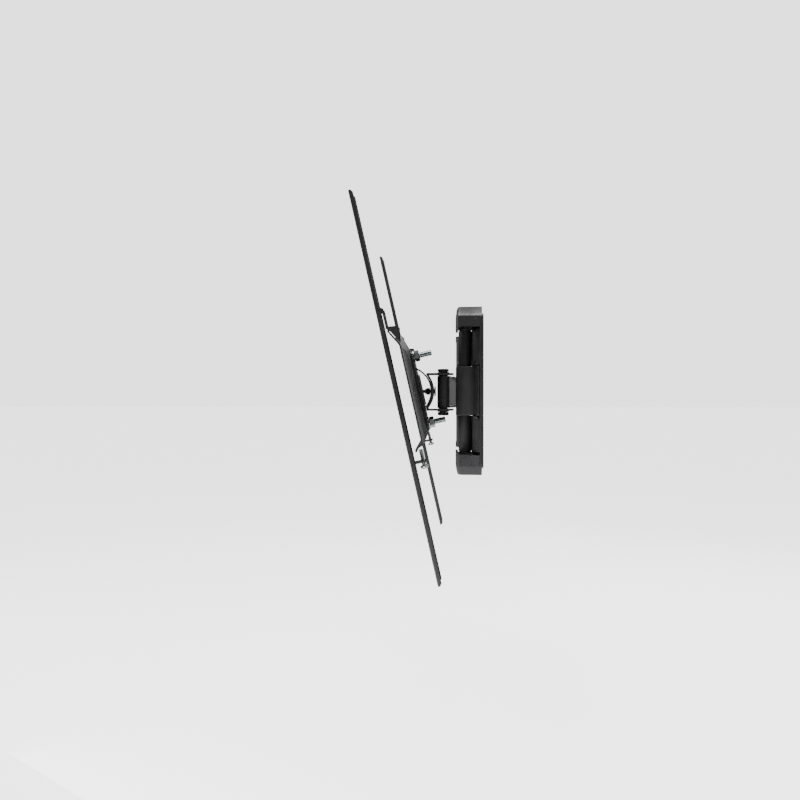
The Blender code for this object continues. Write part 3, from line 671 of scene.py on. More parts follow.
def wall_plate():
    outer = rounded_box(PLATE_HALF_WIDTH, PLATE_HALF_HEIGHT, 0.006)
    inner = rounded_box(PLATE_HALF_WIDTH - SHEET, PLATE_HALF_HEIGHT - SHEET, 0.0038)
    plate = prism(outer, -RIM_DEPTH, 0.0, "Y")
    cut(plate, prism(inner, -RIM_DEPTH - 0.001, -SHEET, "Y"))
    raised = []
    hollow = []
    for side in (1.0, -1.0):
        lift = Matrix.Translation((0.0, 0.0, side * PANEL_MIDDLE))
        raised.append(stacked(panel_rings(PANEL_RISE, 0.0, 0.0055), "Y", lift))
        hollow.append(stacked(panel_rings(PANEL_BACK, 0.0025, 0.0032), "Y", lift))
    for height in (OUTER_LUG_Z, INNER_LUG_Z, -OUTER_LUG_Z - LUG_THICK, -INNER_LUG_Z - LUG_THICK):
        outline = arc((0.0, PIN.y), LUG_RADIUS, 180.0, 360.0, 32)
        outline += [(LUG_RADIUS, -SHEET / 2.0), (-LUG_RADIUS, -SHEET / 2.0)]
        raised.append(prism(outline, height, height + LUG_THICK, "Z"))
    join(plate, *raised)
    holes = [prism(circle(M10_HOLE, (0.0, PIN.y)), -0.11, 0.11, "Z")]
    for x in (-WALL_SLOT_X, WALL_SLOT_X):
        for z in (-WALL_SLOT_Z, WALL_SLOT_Z):
            holes.append(prism(shifted(obround(0.007, 0.0035), x, z), -0.02, 0.01, "Y"))
    cut(plate, *hollow, *holes)
    finished(plate, "wall_plate", "pressing", 0.0006)


COVER_FRONT = -low("cover_top").y
COVER_LOW = low("cover_top").z
COVER_HIGH = high("cover_top").z
COVER_REAR = RIM_DEPTH + 0.0002
COVER_REAR_PAST_PLATE = -high("cover_top").y
COVER_SIDE_LOW = 0.0833
COVER_WALL = 0.002
LIP_BACK = COVER_WALL + 0.0011 - COVER_FRONT
CORNER_FROM = PLATE_HALF_HEIGHT - 0.0065    # where the rear starts to wrap the plate's corners
SLOPE_HEIGHT = 0.0125                       # of the sloped end, below the cover's top
SEAM_DROP = 0.0128
SEAM_DEPTH = 0.00035


def cover_outline(half_width, front, rear, corner):
    """A cover's section: rounded in front, and flared a little towards the wall."""
    narrow = half_width - 0.0015
    right = arc((narrow - corner, corner - front), corner, -90.0, 0.0, 10)
    flare_from = -0.0163
    for step in range(9):
        share = step / 8.0
        right.append((narrow + 0.0015 * share ** 1.7, flare_from + (-rear - flare_from) * share))
    return right + [(-x, y) for x, y in reversed(right)]


def cover_body(side, thin):
    """The outside of an end cover, or its inside where thin is the wall left."""
    slope_from = COVER_HIGH - SLOPE_HEIGHT
    top = COVER_HIGH - thin
    start = COVER_SIDE_LOW + thin if thin else COVER_LOW
    heights = [start, start + 0.3 * (slope_from - start), CORNER_FROM, CORNER_FROM + 0.0002, slope_from,
               PLATE_HALF_HEIGHT + GAP]
    heights += [slope_from + (top - slope_from) * sin(radians(90.0 * step / 14.0))
                for step in range(1, 15)]
    rings = []
    for height in sorted(heights):
        rear = COVER_REAR_PAST_PLATE if height > CORNER_FROM else COVER_REAR
        rise = max(0.0, (height - slope_from) / (top - slope_from))
        half_width = PLATE_HALF_WIDTH - thin - 0.011 * rise ** 1.15
        front = COVER_FRONT - thin - 0.0037 * (1.0 - sqrt(max(0.0, 1.0 - rise * rise)))
        outline = cover_outline(half_width, front, -0.01 if thin else rear, 0.005 - thin)
        rings.append([Vector((x, y, side * height)) for x, y in outline])
    return loft(rings)


def end_cover(node, side):
    cover = cover_body(side, 0.0)
    lug = LUG_RADIUS + 0.0005
    opening = arc((0.0, PIN.y), lug, 180.0, 360.0, 32) + [(lug, 0.01), (-lug, 0.01)]
    below = [(-0.05, LIP_BACK), (0.05, LIP_BACK), (0.05, 0.01), (-0.05, 0.01)]
    plate_end = rounded_box(PLATE_HALF_WIDTH + GAP, PLATE_HALF_HEIGHT + GAP, 0.006 + GAP)
    below_span = sorted((side * (COVER_LOW - 0.002), side * COVER_SIDE_LOW))
    opening_span = sorted((side * (COVER_LOW - 0.001), side * (COVER_SIDE_LOW + 0.004)))
    cut(cover, cover_body(side, COVER_WALL), prism(plate_end, -COVER_REAR, 0.01, "Y"),
        prism(below, *below_span, "Z"), prism(opening, *opening_span, "Z"))
    seam = side * (COVER_HIGH - SEAM_DROP)
    rear = COVER_REAR - 0.002
    ring = [(x * 1.02, y) for x, y in cover_outline(PLATE_HALF_WIDTH, COVER_FRONT + 0.001, rear, 0.005)]
    inner = cover_outline(PLATE_HALF_WIDTH - SEAM_DEPTH, COVER_FRONT - SEAM_DEPTH, rear, 0.005)
    groove = prism(ring, seam - 0.00025, seam + 0.00025, "Z")
    cut(groove, prism(inner, seam - 0.001, seam + 0.001, "Z"))
    cut(cover, groove)
    finished(cover, node, "moulding", 0.0005)


def centre_cover():
    """A half-round shell over the middle lugs that sweeps out into two flanges."""
    half = size("cover_centre").z / 2.0
    flange = size("cover_centre").x / 2.0
    radius = PIN.y - low("cover_centre").y
    sweep = ((0.0, -0.019), (0.0003, -0.0165), (0.001, -0.0145), (0.0024, -0.0126), (0.0045, -0.0112),
             (0.008, -0.0101), (0.0125, -0.0093))
    edge = ((0.003, -0.0085), (0.0012, -0.008), (0.0003, -0.0073), (0.0, -0.0065),
            (0.0, high("cover_centre").y))
    right = [(radius + past, y) for past, y in sweep] + [(flange - short, y) for short, y in edge]
    outline = arc((0.0, PIN.y), radius, 180.0, 360.0, 40) + right + [(-x, y) for x, y in reversed(right)]
    cover = prism(outline, -half, half, "Z")
    inner = radius - 0.0016
    hollow = arc((0.0, PIN.y), inner, 180.0, 360.0, 40) + [(inner, 0.0), (-inner, 0.0)]
    cut(cover, prism(hollow, 0.0016 - half, half - 0.0016, "Z"),
        prism(circle(0.0086, (0.0, PIN.y)), -0.04, 0.04, "Z"))
    finished(cover, "cover_centre", "moulding", 0.0008, 4)


def wall_hinge():
    hex_bolt("wall_pin", M10_ACROSS, high("wall_pin").z - 0.0064, M10_THREAD, -0.08, PIN_PLACE)
    hex_nut("wall_pin_nut", "wall_pin_hexagon", M10_ACROSS, M10_HOLE, PIN_PLACE)
    for end in ("top", "bottom"):
        fitted(washer, "wall_pin_washer_" + end, "ring", PIN_BORE, PIN_PLACE)
    for node in BEHAVIOUR["bodies"]["wall"]:
        if node.startswith("thrust"):
            fitted(bush, node, "ring", PIN_BORE, PIN_PLACE)


# --- Rear arms ---

BARREL_RADIUS = size("upper_arm").y / 2.0
BARREL_BORE = 0.0069
ELBOW_BORE = 0.0043         # of the bushes and washers round the elbow bolt
ARM_FACE = -0.0082
ARM_BACK = 0.008
ARM_LOW = 0.0435
ARM_HIGH = 0.0793
WEB_TOE = sqrt(BARREL_RADIUS ** 2 - (ARM_FACE + SHEET) ** 2)


def channel(web, back, bottom, top, start, end, place, thick=SHEET):
    """A pressed channel along X: web on the low-y side, flanges towards +y."""
    outline = [(back, top), (web, top), (web, bottom), (back, bottom), (back, bottom + thick),
               (web + thick, bottom + thick), (web + thick, top - thick), (back, top - thick)]
    radii = [0.0007, 0.0032, 0.0032, 0.0007, 0.0007, 0.0009, 0.0009, 0.0007]
    return prism(filleted(outline, radii), start, end, "X", place)


def rear_arm(node, side):
    bottom, top = sorted((side * ARM_LOW, side * ARM_HIGH))
    arm = channel(ARM_FACE, ARM_BACK, bottom, top, -ARM_LENGTH, 0.0, PIN_PLACE)
    inside = ARM_FACE + SHEET
    near = [(-0.0035, inside + 0.0006), (-0.014, ARM_BACK - 0.003), (-0.017, ARM_BACK - 0.001),
            (-0.02, ARM_BACK + 0.0004), (-0.02, 0.02), (0.02, 0.02), (0.02, inside + 0.0006)]
    far = [(-ARM_LENGTH - x, y) for x, y in near]
    cut(arm, prism(near, -0.1, 0.1, "Z", PIN_PLACE), prism(far, -0.1, 0.1, "Z", PIN_PLACE))
    ends = (0.0, -ARM_LENGTH)
    box_low, box_high = low(node).z, high(node).z
    join(arm, *[prism(circle(BARREL_RADIUS, (x, 0.0), 72), box_low, box_high, "Z", PIN_PLACE)
                for x in ends])
    cut(arm, *[prism(circle(BARREL_BORE, (x, 0.0)), box_low - 0.01, box_high + 0.01, "Z", PIN_PLACE)
               for x in ends])
    finished(arm, node, "pressing", 0.0004)
    inset = 0.003
    for x, out in ((-WEB_TOE, (0.2, 1.0, 0.0)), (WEB_TOE - ARM_LENGTH, (-0.2, 1.0, 0.0))):
        straight_bead(node + "_weld", (x, inside, bottom + inset), (x, inside, top - inset), out, 0.0013,
                      node, PIN_PLACE)


def arm_fittings():
    for name in ("upper", "lower"):
        fitted(bush, name + "_wall_bush", "sleeve", PIN_BORE, PIN_PLACE)
        fitted(bush, name + "_elbow_bush", "sleeve", ELBOW_BORE, ELBOW_PLACE)
        fitted(washer, name + "_elbow_washer", "ring", ELBOW_BORE, ELBOW_PLACE)
        elbow_cap(name + "_elbow_cap")
    hex_bolt("elbow_bolt", M8_ACROSS, high("upper_elbow_washer").z + GAP, M8_THREAD, -0.079, ELBOW_PLACE)
    hex_nut("elbow_nut", "elbow_hexagon", M8_ACROSS, M8_HOLE, ELBOW_PLACE)


def elbow_cap(node):
    """A moulded cup with a domed crown and a grip groove near its mouth."""
    outer = size(node).x / 2.0
    mouth, crown = low(node).z, high(node).z
    if centre(node).z < 0.0:
        mouth, crown = crown, mouth
    way = 1.0 if crown > mouth else -1.0
    wall = 0.0014
    cup = [(0.0, -wall), (outer - wall - 0.0006, -wall), (outer - wall, -wall - 0.0006)]
    rim = [(outer - wall, 0.0003), (outer - wall + 0.0003, 0.0), (outer - 0.0003, 0.0), (outer, 0.0003),
           (outer, 0.0012), (outer - 0.0003, 0.0015), (outer - 0.0003, 0.0019), (outer, 0.0022)]
    profile = [(radius, crown + way * height) for radius, height in cup]
    profile += [(radius, mouth + way * height) for radius, height in rim]
    profile += dome(outer - 0.0012, crown - way * 0.0016, 0.0012, way * 0.0012, 20)
    profile += [(outer * 0.55, crown - way * 0.0001), (0.0, crown)]
    settle(turned(node + "_cup", profile, "Z", ELBOW_PLACE, 72, ring=False), node)


# --- Front arm ---

FRONT_HALF = 0.0215
SLEEVE_HALF = 0.0212
SLEEVE_RADIUS = 0.008
WEB_AT_ELBOW = -0.0058
WEB_AT_HEAD = -0.0235
FLANGE_DEPTH = 0.005
FLANGES_END = 0.221         # the sum of the places where the flanges start and stop
HEAD_BORE = 0.0055


def front_arm():
    slope = atan2(WEB_AT_HEAD - WEB_AT_ELBOW, ARM_LENGTH)
    along = ELBOW_PLACE @ Matrix.Translation((0.0, WEB_AT_ELBOW, HEAD.z)) @ Matrix.Rotation(slope, 4, "Z")
    length = ARM_LENGTH / cos(slope)
    depth = SHEET + FLANGE_DEPTH
    arm = channel(0.0, depth, -FRONT_HALF, FRONT_HALF, 0.0, length + 0.003, along)
    clear = SHEET + 0.0004
    near = [(-0.02, clear), (0.03, clear), (0.033, 0.0045), (0.037, 0.0068), (0.041, depth + 0.0004),
            (0.041, 0.02), (-0.02, 0.02)]
    far = [(FLANGES_END - x, y) for x, y in near[1:6]] + [(0.26, 0.02), (0.26, clear)]
    cut(arm, prism(near, -0.1, 0.1, "Z", along), prism(far, -0.1, 0.1, "Z", along))
    half = size("front_arm").z / 2.0
    join(arm, prism(circle(BARREL_RADIUS, (0.0, 0.0), 72), -half, half, "Z", ELBOW_PLACE),
         prism(circle(SLEEVE_RADIUS, (HEAD.x, HEAD.y), 72), HEAD.z - SLEEVE_HALF,
               HEAD.z + SLEEVE_HALF, "Z"))
    cut(arm, prism(circle(BARREL_BORE), -0.04, 0.04, "Z", ELBOW_PLACE),
        prism(circle(HEAD_BORE, (HEAD.x, HEAD.y)), -0.03, 0.03, "Z"))
    finished(arm, "front_arm", "pressing", 0.0004)
    toe = sqrt(BARREL_RADIUS ** 2 - (WEB_AT_ELBOW + SHEET) ** 2)
    back = WEB_AT_ELBOW + SHEET + toe * tan(slope)
    for x, y, out in ((toe, back, (-0.4, 1.0, 0.0)), (toe - 0.0018, back - SHEET, (-0.4, -1.0, 0.0))):
        start, end = (x, y, HEAD.z + 0.0015 - FRONT_HALF), (x, y, HEAD.z + FRONT_HALF - 0.0015)
        straight_bead("front_arm_elbow_weld", start, end, out, 0.0012, "front_arm", ELBOW_PLACE)
    web_back = WEB_AT_HEAD + SHEET + (PIN.y - HEAD.y)
    reach = sqrt(max(0.0, SLEEVE_RADIUS ** 2 - (web_back - SHEET) ** 2))
    for x, y, out in ((-reach, web_back - SHEET, (-0.5, -1.0, 0.0)),
                      (0.003, web_back - 0.0008, (1.0, 0.3, 0.0))):
        start, end = (x, y, HEAD.z + 0.0012 - SLEEVE_HALF), (x, y, HEAD.z + SLEEVE_HALF - 0.0012)
        straight_bead("front_arm_head_weld", start, end, out, 0.0011, "front_arm", HEAD_PLACE)
    for end in ("top", "low"):
        fitted(bush, "front_elbow_bush_" + end, "sleeve", ELBOW_BORE, ELBOW_PLACE)
    for end in ("top", "low"):
        head_bush("head_bush_" + end)


def head_bush(node):
    """A flanged sleeve; its flange is the thrust face between sleeve and clevis."""
    side = 1.0 if centre(node).z > 0.0 else -1.0
    inner = min(abs(low(node).z), abs(high(node).z))
    outer = max(abs(low(node).z), abs(high(node).z))
    rim = size(node).x / 2.0
    thick = 0.0007
    shape = [(0.0043, inner + 0.0003), (0.0046, inner), (0.0049, inner), (0.0052, inner + 0.0003),
             (0.0052, outer - thick), (rim - 0.0002, outer - thick), (rim, outer - thick + 0.0002),
             (rim, outer - 0.0002), (rim - 0.0002, outer), (0.0046, outer), (0.0043, outer - 0.0003)]
    profile = [(radius, side * height) for radius, height in shape]
    settle(turned(node + "_flanged", profile, "Z", HEAD_PLACE), node)


# --- Head ---

CLEVIS_RADIUS = size("head_clevis").x / 2.0
CLEVIS_LOW = 0.0225
BOW_INNER = 0.0316
BOW_OUTER = 0.0336
CLEVIS_WEB_OUTER = 0.0364
CLAMP_SEAT = CLEVIS_WEB_OUTER + GAP


def head():
    tilt_y = TILT_AXIS.y - HEAD.y
    tilt_place = Matrix.Translation(TILT_AXIS)
    end = tilt_y + 0.0265
    half = CLEVIS_RADIUS
    outline = arc((0.0, 0.0), half, 0.0, 180.0, 40)
    outline += filleted([(-half, 0.0), (-half, end), (half, end), (half, 0.0)], 0.0006, 4, closed=False)[1:-1]
    clevis = prism(outline, HEAD.z + CLEVIS_LOW, HEAD.z + CLEVIS_LOW + SHEET, "Z", HEAD_PLACE)
    strip = sector(BOW_OUTER + GAP, CLEVIS_WEB_OUTER, -41.0, 41.0, 40)
    join(clevis, prism(strip, 0.0002 - half, half - 0.0002, "X", tilt_place),
         prism(outline, HEAD.z - CLEVIS_LOW - SHEET, HEAD.z - CLEVIS_LOW, "Z", HEAD_PLACE))
    cut(clevis, prism(circle(M8_HOLE), -0.03, 0.03, "Z", HEAD_PLACE),
        prism(circle(M5_HOLE), 0.03, 0.04, "Y", tilt_place))
    finished(clevis, "head_clevis", "pressing", 0.0004)
    corner_y = tilt_y + sqrt(CLEVIS_WEB_OUTER ** 2 - CLEVIS_LOW ** 2)
    for side in (1.0, -1.0):
        spot = HEAD.z + side * (CLEVIS_LOW - 0.0002)
        straight_bead("clevis_weld", (0.0015 - half, corner_y, spot), (half - 0.0015, corner_y, spot),
                      (0.0, 1.0, -side), 0.0011, "head_clevis", HEAD_PLACE)
    hex_bolt("head_bolt", M8_ACROSS, high("head_washer_top").z + GAP, M8_THREAD, -0.026, HEAD_PLACE, 0.0)
    hex_nut("head_nut", "head_hexagon", M8_ACROSS, M8_HOLE, HEAD_PLACE, 0.0)
    for end in ("top", "low"):
        fitted(washer, "head_washer_" + end, "ring", M8_HOLE, HEAD_PLACE)
    clamp_bolt(tilt_place)
    clamp_nut(tilt_place)


def clamp_bolt(place):
    """A round-headed bolt with a hexagon socket; its thread runs through the black nut."""
    crown = high("clamp_bolt").y - TILT_AXIS.y
    tip = low("clamp_bolt").y - TILT_AXIS.y
    rim = size("clamp_bolt").x / 2.0
    seat = CLAMP_SEAT
    shank, shank_end = M5_THREAD[0], seat - 0.009
    profile = [(0.0, shank_end), (shank, shank_end), (shank, seat), (rim - 0.0002, seat),
               (rim, seat + 0.0002)]
    profile += dome(rim - 0.0022, seat + 0.0007, 0.0022, crown - seat - 0.0007, 20)
    profile += [(rim * 0.5, crown), (0.0, crown)]
    head_piece = turned("clamp_head", profile, "Y", place, 64, ring=False)
    angles = [radians(angle) for angle in range(0, 360, 15)]
    socket = [(hex_radius(angle, 0.003) * cos(angle), hex_radius(angle, 0.003) * sin(angle))
              for angle in angles]
    cut(head_piece, prism(socket, crown - 0.0018, crown + 0.001, "Y", place))
    settle(head_piece, "clamp_bolt")
    threaded_rod("clamp_thread", "clamp_bolt", M5_THREAD, shank_end - 0.0001, tip, "Y", place)


def clamp_nut(place):
    """A self-locking nut: hexagon, then a rolled collar round its insert."""
    far = low("clamp_nut").y - TILT_AXIS.y
    near = high("clamp_nut").y - TILT_AXIS.y
    collar = far + 0.0017
    lead = M5_HOLE + 0.0004
    crown = M5_ACROSS * CROWN

    def profile(angle):
        sides = hex_sides(angle, M5_ACROSS, near, collar + 0.0004, True, 0.0)
        return [(M5_HOLE, near - 0.0004), (lead, near)] + sides + [
            (crown - 0.0002, collar), (crown - 0.0002, far + 0.0006), (crown - 0.0006, far + 0.0001),
            (crown - 0.001, far), (lead, far), (M5_HOLE, far + 0.0004)]

    settle(turned("clamp_locknut", profile, "Y", place, 72), "clamp_nut")


# --- Tilt carrier ---

BOW_HALF_WIDTH = 0.0125
STUD_TOP_V = 0.046
STUD_LOW_V = -0.0445
STUD_HOLE = 0.0043


def tilt_carrier():
    base = shifted(rounded_box(size("tilt_carrier").x / 2.0, 0.054, 0.008), 0.0, LEVEL_V)
    carrier = prism(base, SEAT - SHEET, SEAT, "Y", TILT_PLACE)
    strip = sector(BOW_INNER, BOW_OUTER, -58.8, 58.8, 64)
    join(carrier, prism(strip, -BOW_HALF_WIDTH, BOW_HALF_WIDTH, "X", TILT_PLACE))
    slot = sector(BOW_INNER - 0.003, BOW_OUTER + 0.003, -21.0, 11.0, 20)
    window = shifted(rounded_box(0.0052, 0.0105, 0.004), 0.0, -0.0017)
    holes = [prism(shifted(obround(0.0068, STUD_HOLE), 0.0, LEVEL_V + stud_v),
                   SEAT - 0.01, SEAT + 0.01, "Y", TILT_PLACE) for stud_v in (STUD_TOP_V, STUD_LOW_V)]
    cut(carrier, prism(slot, -0.0029, 0.0029, "X", TILT_PLACE),
        prism(window, 0.0, SEAT + 0.002, "Y", TILT_PLACE), *holes)
    finished(carrier, "tilt_carrier", "pressing", 0.0004)
    foot = sqrt(BOW_OUTER ** 2 - SEAT ** 2)
    for side in (1.0, -1.0):
        v = side * (foot + 0.0003)
        straight_bead("bow_weld", (0.0012 - BOW_HALF_WIDTH, SEAT, v), (BOW_HALF_WIDTH - 0.0012, SEAT, v),
                      (0.0, 1.0, 0.6 * side), 0.0011, "tilt_carrier", TILT_PLACE)
    face = shifted(rounded_box(0.011, 0.0203, 0.003), 0.0, -0.0022)
    pad = prism(face, SEAT + GAP, SEAT + 0.003, "Y", TILT_PLACE)
    cut(pad, prism(window, 0.0, SEAT + 0.006, "Y", TILT_PLACE))
    finished(pad, "carrier_pad", "moulding", 0.0005)


# --- Centre plate and studs ---

PLATE_HALF_LENGTH = size("centre_plate").x / 2.0
PLATE_SHEET = 0.002
BAR = [(0.0675, -0.0137), (0.05, -0.004), (-0.0605, -0.004), (-0.0635, -0.012), (-0.0665, -0.0125)]
MIDDLE = [(0.081, -0.0105), (0.0575, -0.0029), (-0.0575, -0.0029), (-0.066, -0.0085), (-0.069, -0.0105)]


def bends(corners, reach=0.0022, steps=6):
    """The plate's wall face from the side, top to bottom, with soft bends."""
    points = [Vector(corners[0])]
    for before, corner, after in zip(corners, corners[1:], corners[2:]):
        here = Vector(corner)
        before, after = Vector(before), Vector(after)
        into = (before - here).normalized() * min(reach, 0.4 * (before - here).length)
        out = (after - here).normalized() * min(reach, 0.4 * (after - here).length)
        for step in range(steps + 1):
            share = step / steps
            points.append((1 - share) ** 2 * (here + into) + 2 * share * (1 - share) * here
                          + share ** 2 * (here + out))
    points.append(Vector(corners[-1]))
    return points


def centre_plate():
    """A pressed bar, deeper and taller in its middle, with a rim on top and a lip below."""
    bar, middle = bends(BAR), bends(MIDDLE)
    half_stations = [0.0105, 0.031, 0.052] + [0.058 + 0.00125 * step for step in range(17)]
    half_stations += [0.09 + 0.0305 * step for step in range(5)]
    half_stations = [x for x in half_stations if x < PLATE_HALF_LENGTH - 0.002] + [PLATE_HALF_LENGTH]
    stations = [-x for x in reversed(half_stations)] + half_stations
    rings = []
    for x in stations:
        share = min(1.0, max(0.0, (0.078 - abs(x)) / 0.0195))
        share = share * share * (3.0 - 2.0 * share)
        face = [a.lerp(b, share) for a, b in zip(bar, middle)]
        back = []
        for index, here in enumerate(face):
            along = face[min(index + 1, len(face) - 1)] - face[max(index - 1, 0)]
            back.append(here + Vector((-along.y, along.x)).normalized() * PLATE_SHEET)
        if back[len(back) // 2].y > face[len(face) // 2].y:
            back = [2.0 * here - there for here, there in zip(face, back)]
        rings.append([(x, n, v) for v, n in face + back[::-1]])
    plate = loft(rings, LEVEL_PLACE)
    window = shifted(rounded_box(0.0075, 0.0125, 0.004), 0.0, -LEVEL_V - 0.0017)
    outlines = [window] + [circle(STUD_HOLE, (0.0, stud_v)) for stud_v in (STUD_TOP_V, STUD_LOW_V)]
    outlines += [shifted(obround(0.011, 0.005), x) for x in (-0.15, -0.115, 0.115, 0.15)]
    cut(plate, *[prism(outline, -0.02, 0.01, "Y", LEVEL_PLACE) for outline in outlines])
    finished(plate, "centre_plate", "pressing", 0.0005, 3, 50.0)


def studs():
    """Round-headed studs through plate and carrier, each with a washer and a nut on the wall side."""
    shank = M8_THREAD[0]
    rim = 0.0088
    back = -0.0029 - PLATE_SHEET - GAP
    profile = [(0.0, back - 0.0032)] + dome(0.0, back - 0.001, rim, -0.0022, 12)[::-1]
    profile += [(rim, back - 0.0002), (rim - 0.0002, back), (shank, back), (shank, 0.0003), (0.0, 0.0003)]
    for name, stud_v, tip in (("top", STUD_TOP_V, 0.0252), ("low", STUD_LOW_V, 0.0237)):
        node = "stud_" + name
        place = LEVEL_PLACE @ Matrix.Translation((0.0, 0.0, stud_v))
        settle(turned(node + "_head", profile, "Y", place, 64, ring=False), node)
        threaded_rod(node + "_thread", node, M8_THREAD, 0.0002, tip, "Y", place)
        settle(washer(node + "_washer_ring", M8_HOLE, 0.0085, GAP, 0.0018, "Y", place), "stud_washer_" + name)
        hexagon = nut(node + "_hexagon", M8_ACROSS, M8_HOLE, 0.0021, 0.0086, "Y", place, 0.0)
        settle(hexagon, "stud_nut_" + name)


# --- Brackets ---

BRACKET_HALF = size("bracket_left").x / 2.0
BRACKET_LOW = -0.2113
BRACKET_HIGH = 0.2233
BRACKET_MIDDLE = 0.006
BRACKET_FACE = -0.0227
BRACKET_EDGE = -0.0178
BRACKET_SHEET = 0.002
TAB_V = -0.0787
TAB_SHEET = 0.002
SCREW_N = -0.0085
SCREW_TOP = -0.0647
HOOK = [(BRACKET_FACE + 0.0012, 0.096), (BRACKET_EDGE, 0.0935), (-0.0141, 0.0914), (-0.0138, 0.0903),
        (-0.0138, 0.0715), (-0.0018, 0.0697), (-0.0018, 0.069), (-0.0046, 0.0538), (-0.0054, 0.0536),
        (-0.0131, 0.068), (-0.0158, 0.069), (-0.0158, 0.0884), (-0.0162, 0.0888), (BRACKET_EDGE, 0.089),
        (BRACKET_FACE + 0.0012, 0.087)]


def bracket(node):
    """A channel with a row of slots, two hook cheeks on top of the plate and a tab under its lip."""
    place = LEVEL_PLACE @ Matrix.Translation((centre(node).x, 0.0, 0.0))
    half, thick = BRACKET_HALF, BRACKET_SHEET
    outline = [(-half, BRACKET_EDGE), (-half, BRACKET_FACE), (half, BRACKET_FACE), (half, BRACKET_EDGE),
               (half - thick, BRACKET_EDGE), (half - thick, BRACKET_FACE + thick),
               (thick - half, BRACKET_FACE + thick), (thick - half, BRACKET_EDGE)]
    radii = [0.0005, 0.0016, 0.0016] + [0.0005] * 5
    rail = prism(filleted(outline, radii, 5), BRACKET_LOW, BRACKET_HIGH, "Z", place)
    cheeks = [prism(filleted(HOOK, 0.0003, 3), low_x, low_x + thick - 0.0002, "X", place)
              for low_x in (0.0001 - half, half - thick + 0.0001)]
    tab = shifted(rounded_box(half - 0.0005, 0.0083, 0.002), 0.0, -0.0128)
    join(rail, *cheeks, prism(tab, TAB_V, TAB_V + TAB_SHEET, "Z", place))
    ends = []
    for way, end in ((1.0, BRACKET_HIGH), (-1.0, BRACKET_LOW)):
        corner = [(BRACKET_EDGE - 0.0028, end + way * 0.001), (BRACKET_EDGE + 0.001, end + way * 0.001),
                  (BRACKET_EDGE + 0.001, end - way * 0.0045)]
        ends.append(prism(corner, -0.03, 0.03, "X", place))
    holes = [prism(circle(0.0028, (0.0, SCREW_N), 40), -0.1, -0.07, "Z", place)]
    for row in (0.05, 0.1, 0.15, 0.2):
        for way in (1.0, -1.0):
            slot = [(b, a + BRACKET_MIDDLE + way * row) for a, b in obround(0.0065, 0.0034)]
            holes.append(prism(slot, BRACKET_FACE - 0.002, BRACKET_FACE + 0.003, "Y", place))
    cut(rail, *ends, *holes)
    finished(rail, node, "pressing", 0.0003, 2)


def lock_screw(node):
    """A pan-head screw with a cross recess; its thread runs through the tab."""
    place = LEVEL_PLACE @ Matrix.Translation((centre(node).x, SCREW_N, SCREW_TOP))
    seat, bottom = -0.0178, -0.0218
    rim = size(node).x / 2.0
    shank = M5_THREAD[0]
    profile = [(0.0, seat + 0.001), (shank, seat + 0.001), (shank, seat), (rim - 0.0003, seat),
               (rim, seat - 0.0003)] + dome(0.0, seat - 0.0014, rim, -0.0026, 15) + [(0.0, bottom)]
    head_piece = turned(node + "_head", profile, "Z", place, 56, ring=False)
    recess = []
    for half_x, half_y in ((0.0022, 0.0005), (0.0005, 0.0022)):
        mouth = rounded_box(half_x, half_y, 0.0002, 3)
        floor = [(x * 0.7, y * 0.7) for x, y in mouth]
        recess.append(stacked([(floor, bottom + 0.0018), (mouth, bottom - 0.0005)], "Z", place))
    cut(head_piece, *recess)
    settle(head_piece, node)
    threaded_rod(node + "_thread", node, M5_THREAD, seat + 0.0009, 0.0, "Z", place)


# --- Stage ---

SURROUND = 2.4              # what the camera sees behind the piece
AMBIENT = 0.28              # what lights the piece from all round
FLOOR_DROP = 0.25
FLOOR_REACH = 30.0


def seen_glow(tree, socket, extra, base):
    """Make a glow stronger where the camera sees it than where it lights the piece."""
    view = add_node(tree, "ShaderNodeLightPath", {})
    glow = add_node(tree, "ShaderNodeMath", {1: extra, 2: base}, operation="MULTIPLY_ADD")
    tree.links.new(view.outputs["Is Camera Ray"], glow.inputs[0])
    tree.links.new(glow.outputs["Value"], socket)


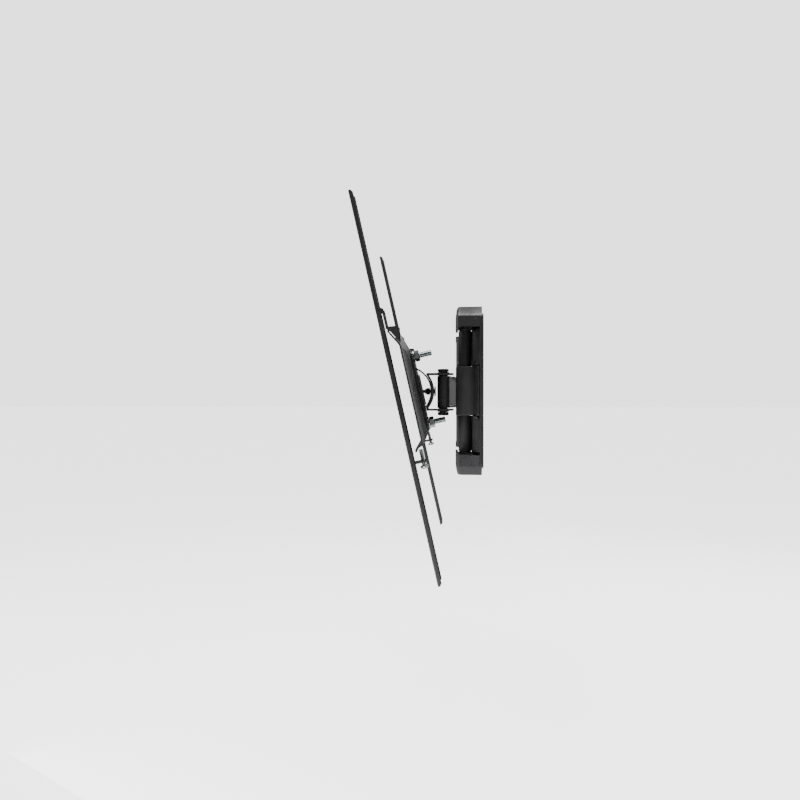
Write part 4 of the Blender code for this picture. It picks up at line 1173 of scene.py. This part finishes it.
def stage():
    """A pale floor that runs out of sight, under a bright surround that lights the piece dimly."""
    floor_z = cad_box[0][2] - FLOOR_DROP
    shape = bmesh.new()
    shape.faces.new([shape.verts.new((x * FLOOR_REACH, y * FLOOR_REACH, floor_z))
                     for x, y in ((-1, -1), (1, -1), (1, 1), (-1, 1))])
    floor = to_object("floor", shape)
    made, tree, shader, place = new_material("pale_floor", grey(0.9), 0.0, 0.95)
    shade(tree, shader, "Base Color", noise(tree, place, 3.0), (0.3, 0.88), (0.7, 0.92))
    shader.inputs["Emission Color"].default_value = (1.0, 1.0, 1.0, 1.0)
    seen_glow(tree, shader.inputs["Emission Strength"], SURROUND, 0.0)
    floor.data.materials.append(made)
    world = bpy.data.worlds.new("studio")
    world.use_nodes = True
    backdrop = world.node_tree.nodes["Background"]
    backdrop.inputs["Color"].default_value = (1.0, 1.0, 1.0, 1.0)
    seen_glow(world.node_tree, backdrop.inputs["Strength"], SURROUND - AMBIENT, AMBIENT)
    bpy.context.scene.world = world


LIT_POINT = (0.0, -0.05, 0.0)


def lamp(name, place, power, width, height):
    """A soft rectangular light aimed at the piece."""
    light = bpy.data.lights.new(name, "AREA")
    light.energy = power
    light.shape = "RECTANGLE"
    light.size = width
    light.size_y = height
    made = add_object(name, light)
    made.location = place
    made.rotation_euler = (Vector(LIT_POINT) - Vector(place)).to_track_quat("-Z", "Y").to_euler()


def lights():
    lamp("top_key", (0.35, -0.3, 1.3), 24.0, 0.9, 0.5)
    lamp("room_side", (-0.1, -1.6, 0.5), 10.0, 0.8, 1.2)
    lamp("camera_side", (1.3, -0.9, 0.35), 0.8, 0.5, 1.2)
    lamp("wall_side", (0.8, 1.1, 0.2), 2.5, 0.4, 1.2)
    lamp("back_rim", (-1.0, 0.7, 0.6), 8.0, 0.6, 0.9)
    lamp("behind", (-0.3, 1.6, 0.9), 14.0, 1.0, 0.8)
    lamp("low_fill", (0.35, -0.3, -0.42), 6.0, 0.8, 0.4)


def camera():
    """Looking along the wall from the +X side, a little towards the room and slightly down."""
    lens = bpy.data.cameras.new("camera")
    lens.lens = 35.0
    lens.sensor_width = 36.0
    made = add_object("camera", lens)
    made.location = (1.04, -0.0497, -0.0062)
    yaw, pitch = radians(3.31), radians(-0.32)
    look = Vector((-cos(yaw) * cos(pitch), -sin(yaw) * cos(pitch), sin(pitch)))
    made.rotation_euler = look.to_track_quat("-Z", "Y").to_euler()
    bpy.context.scene.camera = made


wall_plate()
end_cover("cover_top", 1.0)
end_cover("cover_bottom", -1.0)
centre_cover()
wall_hinge()
rear_arm("upper_arm", 1.0)
rear_arm("lower_arm", -1.0)
arm_fittings()
front_arm()
head()
tilt_carrier()
centre_plate()
studs()
bracket("bracket_left")
bracket("bracket_right")
lock_screw("lock_screw_left")
lock_screw("lock_screw_right")
stage()
lights()
camera()
